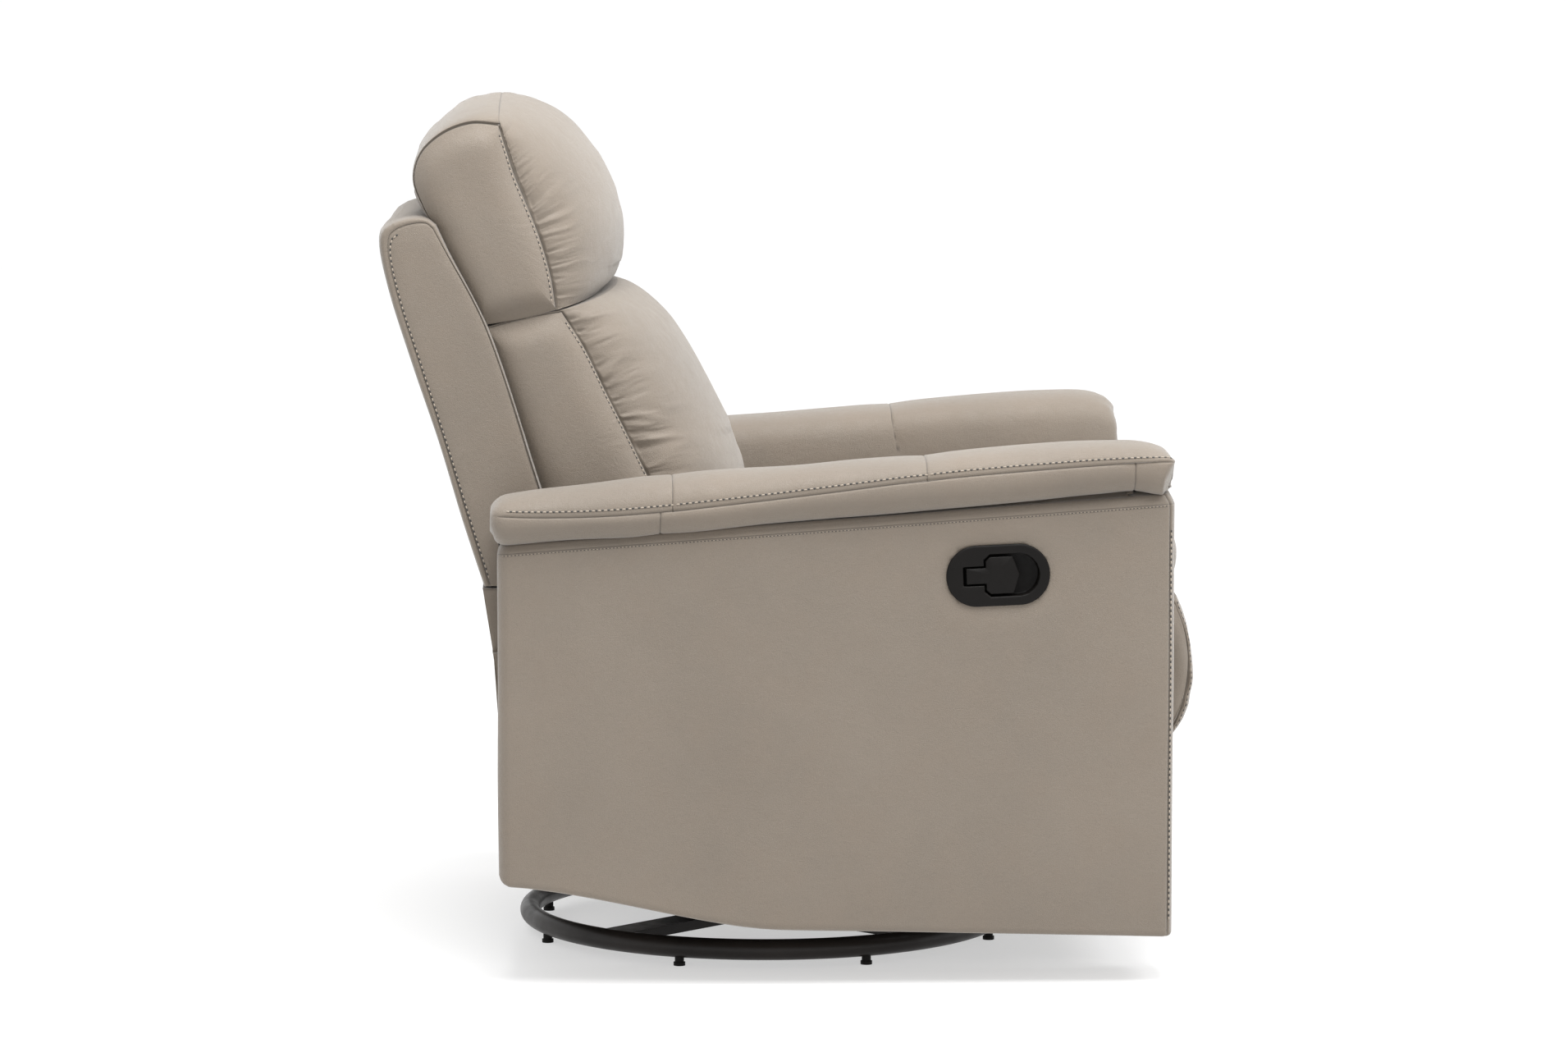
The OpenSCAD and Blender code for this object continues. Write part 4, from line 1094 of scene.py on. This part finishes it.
SKIRT_SIDE = closed(
    [(320, 240), (322, 330), (328, 377)],
    [(323, 377)],
    [(316, 330), (311, 120)],
    [(317, 120)],
)
SKIRT_MIDDLE = closed(
    [(323, 240), (325, 330), (331, 378)],
    [(322, 378)],
    [(314, 330), (310, 118)],
    [(320, 118)],
)
skirt = Cushion(SKIRT_SIDE, SKIRT_MIDDLE, 302, 3, 4, 1, step=(8, 14), dome=6)
undulate(skirt, 90, 1.8, 141)
add_piece(skirt, "rear_skirt_cover", "chassis", ["rear_skirt"], "leather_panel")

FLAP = closed(
    [(335, 415), (341, 453)],
    [(304, 453)],
    [(304, 415), (304, 377)],
    [(329, 377)],
)
flap = Cushion(FLAP, FLAP, 289, 6, 3, 1, step=(6, 14), dome=6)
undulate(flap, 60, 1.5, 151)
flap_piece = add_piece(flap, "rear_flap", "chassis", [], "leather_panel")
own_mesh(flap_piece)

# ---- handle ----

# Half of the cup's T-shaped opening, and the lever in it, as (forward, up) from the cup's middle
T_HALF = [(48, 0), (47.2, 6), (44.6, 12.5), (40.2, 18), (34, 22.4), (26, 24.5), (-9, 24.5), (-13.5, 20.5),
          (-16, 18.5), (-16, 11.2), (-39, 11.2), (-40.2, 10), (-40.2, 0)]
LEVER = [(-36.8, -9.2), (-36.8, 9.2), (-14, 9.2), (-14, 17), (-9, 21.5), (17, 21.5), (20, 14), (24.5, 0),
         (20, -14), (17, -21.5), (-9, -21.5), (-14, -17), (-14, -9.2)]
LEVER_EDGE = [(1.2, -3), (0.5, -2.6), (0, -2), (0, 1.2), (0.3, 1.9), (1.1, 2.4)]


def ray_reach(outline, angles):
    """How far rays from the middle go before they leave an outline that they cross once."""
    reach = np.zeros(len(angles))
    for (x0, y0), (x1, y1) in zip(outline, outline[1:] + outline[:1]):
        c, s = np.cos(angles), np.sin(angles)
        det = c * (y1 - y0) - s * (x1 - x0)
        det = np.where(np.abs(det) < 1e-9, 1e-9, det)
        r = (x0 * (y1 - y0) - y0 * (x1 - x0)) / det
        along_x, along_y = (r * c - x0) / (x1 - x0 + 1e-12), (r * s - y0) / (y1 - y0 + 1e-12)
        t = np.where(np.abs(x1 - x0) > np.abs(y1 - y0), along_x, along_y)
        reach = np.where((r > 0) & (t > -1e-6) & (t < 1 + 1e-6), np.maximum(reach, r), reach)
    return reach


def cup_skin(rings, centre, first_out, last_out):
    """A closed skin through rings of cup points, with a pole at centre beyond the first and the last."""
    at = np.array(centre)
    caps = [np.broadcast_to(cup_points(at[0], at[1], out), rings[0].shape) for out in (first_out, last_out)]
    return Skin(np.stack([caps[0]] + rings + [caps[1]], 1))


def bezel():
    """The handle's black cup: a rounded rim, a T-shaped opening, and a deep pocket behind it."""
    outline = T_HALF + [(x, -y) for x, y in T_HALF[-2:0:-1]]
    corners = [math.atan2(y, x) % (2 * math.pi) for x, y in outline]
    even = np.linspace(0, 2 * math.pi, 120, endpoint=False)
    angles = np.unique(np.round(np.concatenate([even, corners]), 6))
    angles = angles[np.concatenate([np.diff(angles) > 0.004, [True]])]
    reach = ray_reach(outline, angles)

    def opening(grow):
        return (reach + grow) * np.cos(angles), (reach + grow) * np.sin(angles)

    body = ((5, -24.5), (4.5, -23.5), (4.5, 0.2))
    rim = ((0.3, 0.2), (0, 0.9), (0.25, 1.9), (1.1, 2.7), (2.6, 3.1), (5.5, 3.2))
    rings = []
    for offset, out in body + rim:
        rings.append(cup_points(*stadium(CUP_STRAIGHT, CUP_RADIUS - offset, angles), out))
    for grow, out in ((2.2, 3.1), (1.0, 2.8), (0.3, 2.2), (0, 1.2), (0, -12), (-1.2, -13.6), (-3, -14)):
        rings.append(cup_points(*opening(grow), out))
    return cup_skin(rings, (0.0, 0.0), -24.5, -14)


add_piece(bezel(), "handle_bezel", "chassis", ["handle_cup"], "black_plastic")


def extruded(outline, depths):
    """A bevelled plate: the outline is pulled in a little at each edge. depths are (inset, out)."""
    centre = np.mean(outline, 0)
    points = []
    o = np.array(outline, float)
    for inset, out in depths:
        size = np.linalg.norm(o - centre, axis=1, keepdims=True)
        ring = centre + (o - centre) * (1 - inset / size)
        points.append(cup_points(ring[:, 0], ring[:, 1], out))
    return cup_skin(points, centre, depths[0][1], depths[-1][1])


def dense(outline, step=2.0):
    """The outline with extra points along its straight runs."""
    points = []
    for p, q in zip(outline, outline[1:] + outline[:1]):
        count = max(1, round(math.dist(p, q) / step))
        points += [(p[0] + (q[0] - p[0]) * k / count, p[1] + (q[1] - p[1]) * k / count) for k in range(count)]
    return points


lever = extruded(dense(LEVER), LEVER_EDGE)
add_piece(lever, "handle_lever", "lever", ["release_lever"], "black_plastic")

for body, rows in stitches.items():
    if rows.verts:
        seam = rows.object("stitches_" + body, thread)
        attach(seam, body)

# ---- floor and light ----


def studio():
    """The pale floor and backdrop, and two soft lights above the chair's near side."""
    n = Nodes("floor")
    n.link(n.mix(n.noise(n.at, 1.5, 2), (0.42, 0.42, 0.42, 1), (0.45, 0.45, 0.45, 1)), "Base Color")
    n.set("Emission Color", (1, 1, 1, 1))
    n.set("Emission Strength", 0.52)
    n.set("Roughness", 0.6)
    half = 14000
    corners = [(-half, -half, 0), (half, -half, 0), (half, half, 0), (-half, half, 0)]
    mesh_object("floor", corners, [[0, 1, 2, 3]], n.material)
    world = bpy.data.worlds.new("studio")
    world.use_nodes = True
    world.node_tree.nodes["Background"].inputs["Color"].default_value = (1, 1, 1, 1)
    world.node_tree.nodes["Background"].inputs["Strength"].default_value = 1.01
    bpy.context.scene.world = world
    for name, power, size, spot, aim in (
        ("key", 70, 1.6, (-0.9, -2.7, 3.6), (0, 0, 0.6)),
        ("top", 185, 2.2, (-1.4, -0.2, 3.8), (0, 0, 0.5)),
    ):
        data = bpy.data.lights.new(name, "AREA")
        data.energy = power
        data.size = size
        light = link_object(name, data)
        light.location = spot
        light.rotation_euler = (Vector(aim) - Vector(spot)).to_track_quat("-Z", "Y").to_euler()


studio()
bpy.context.scene.view_settings.view_transform = "Standard"
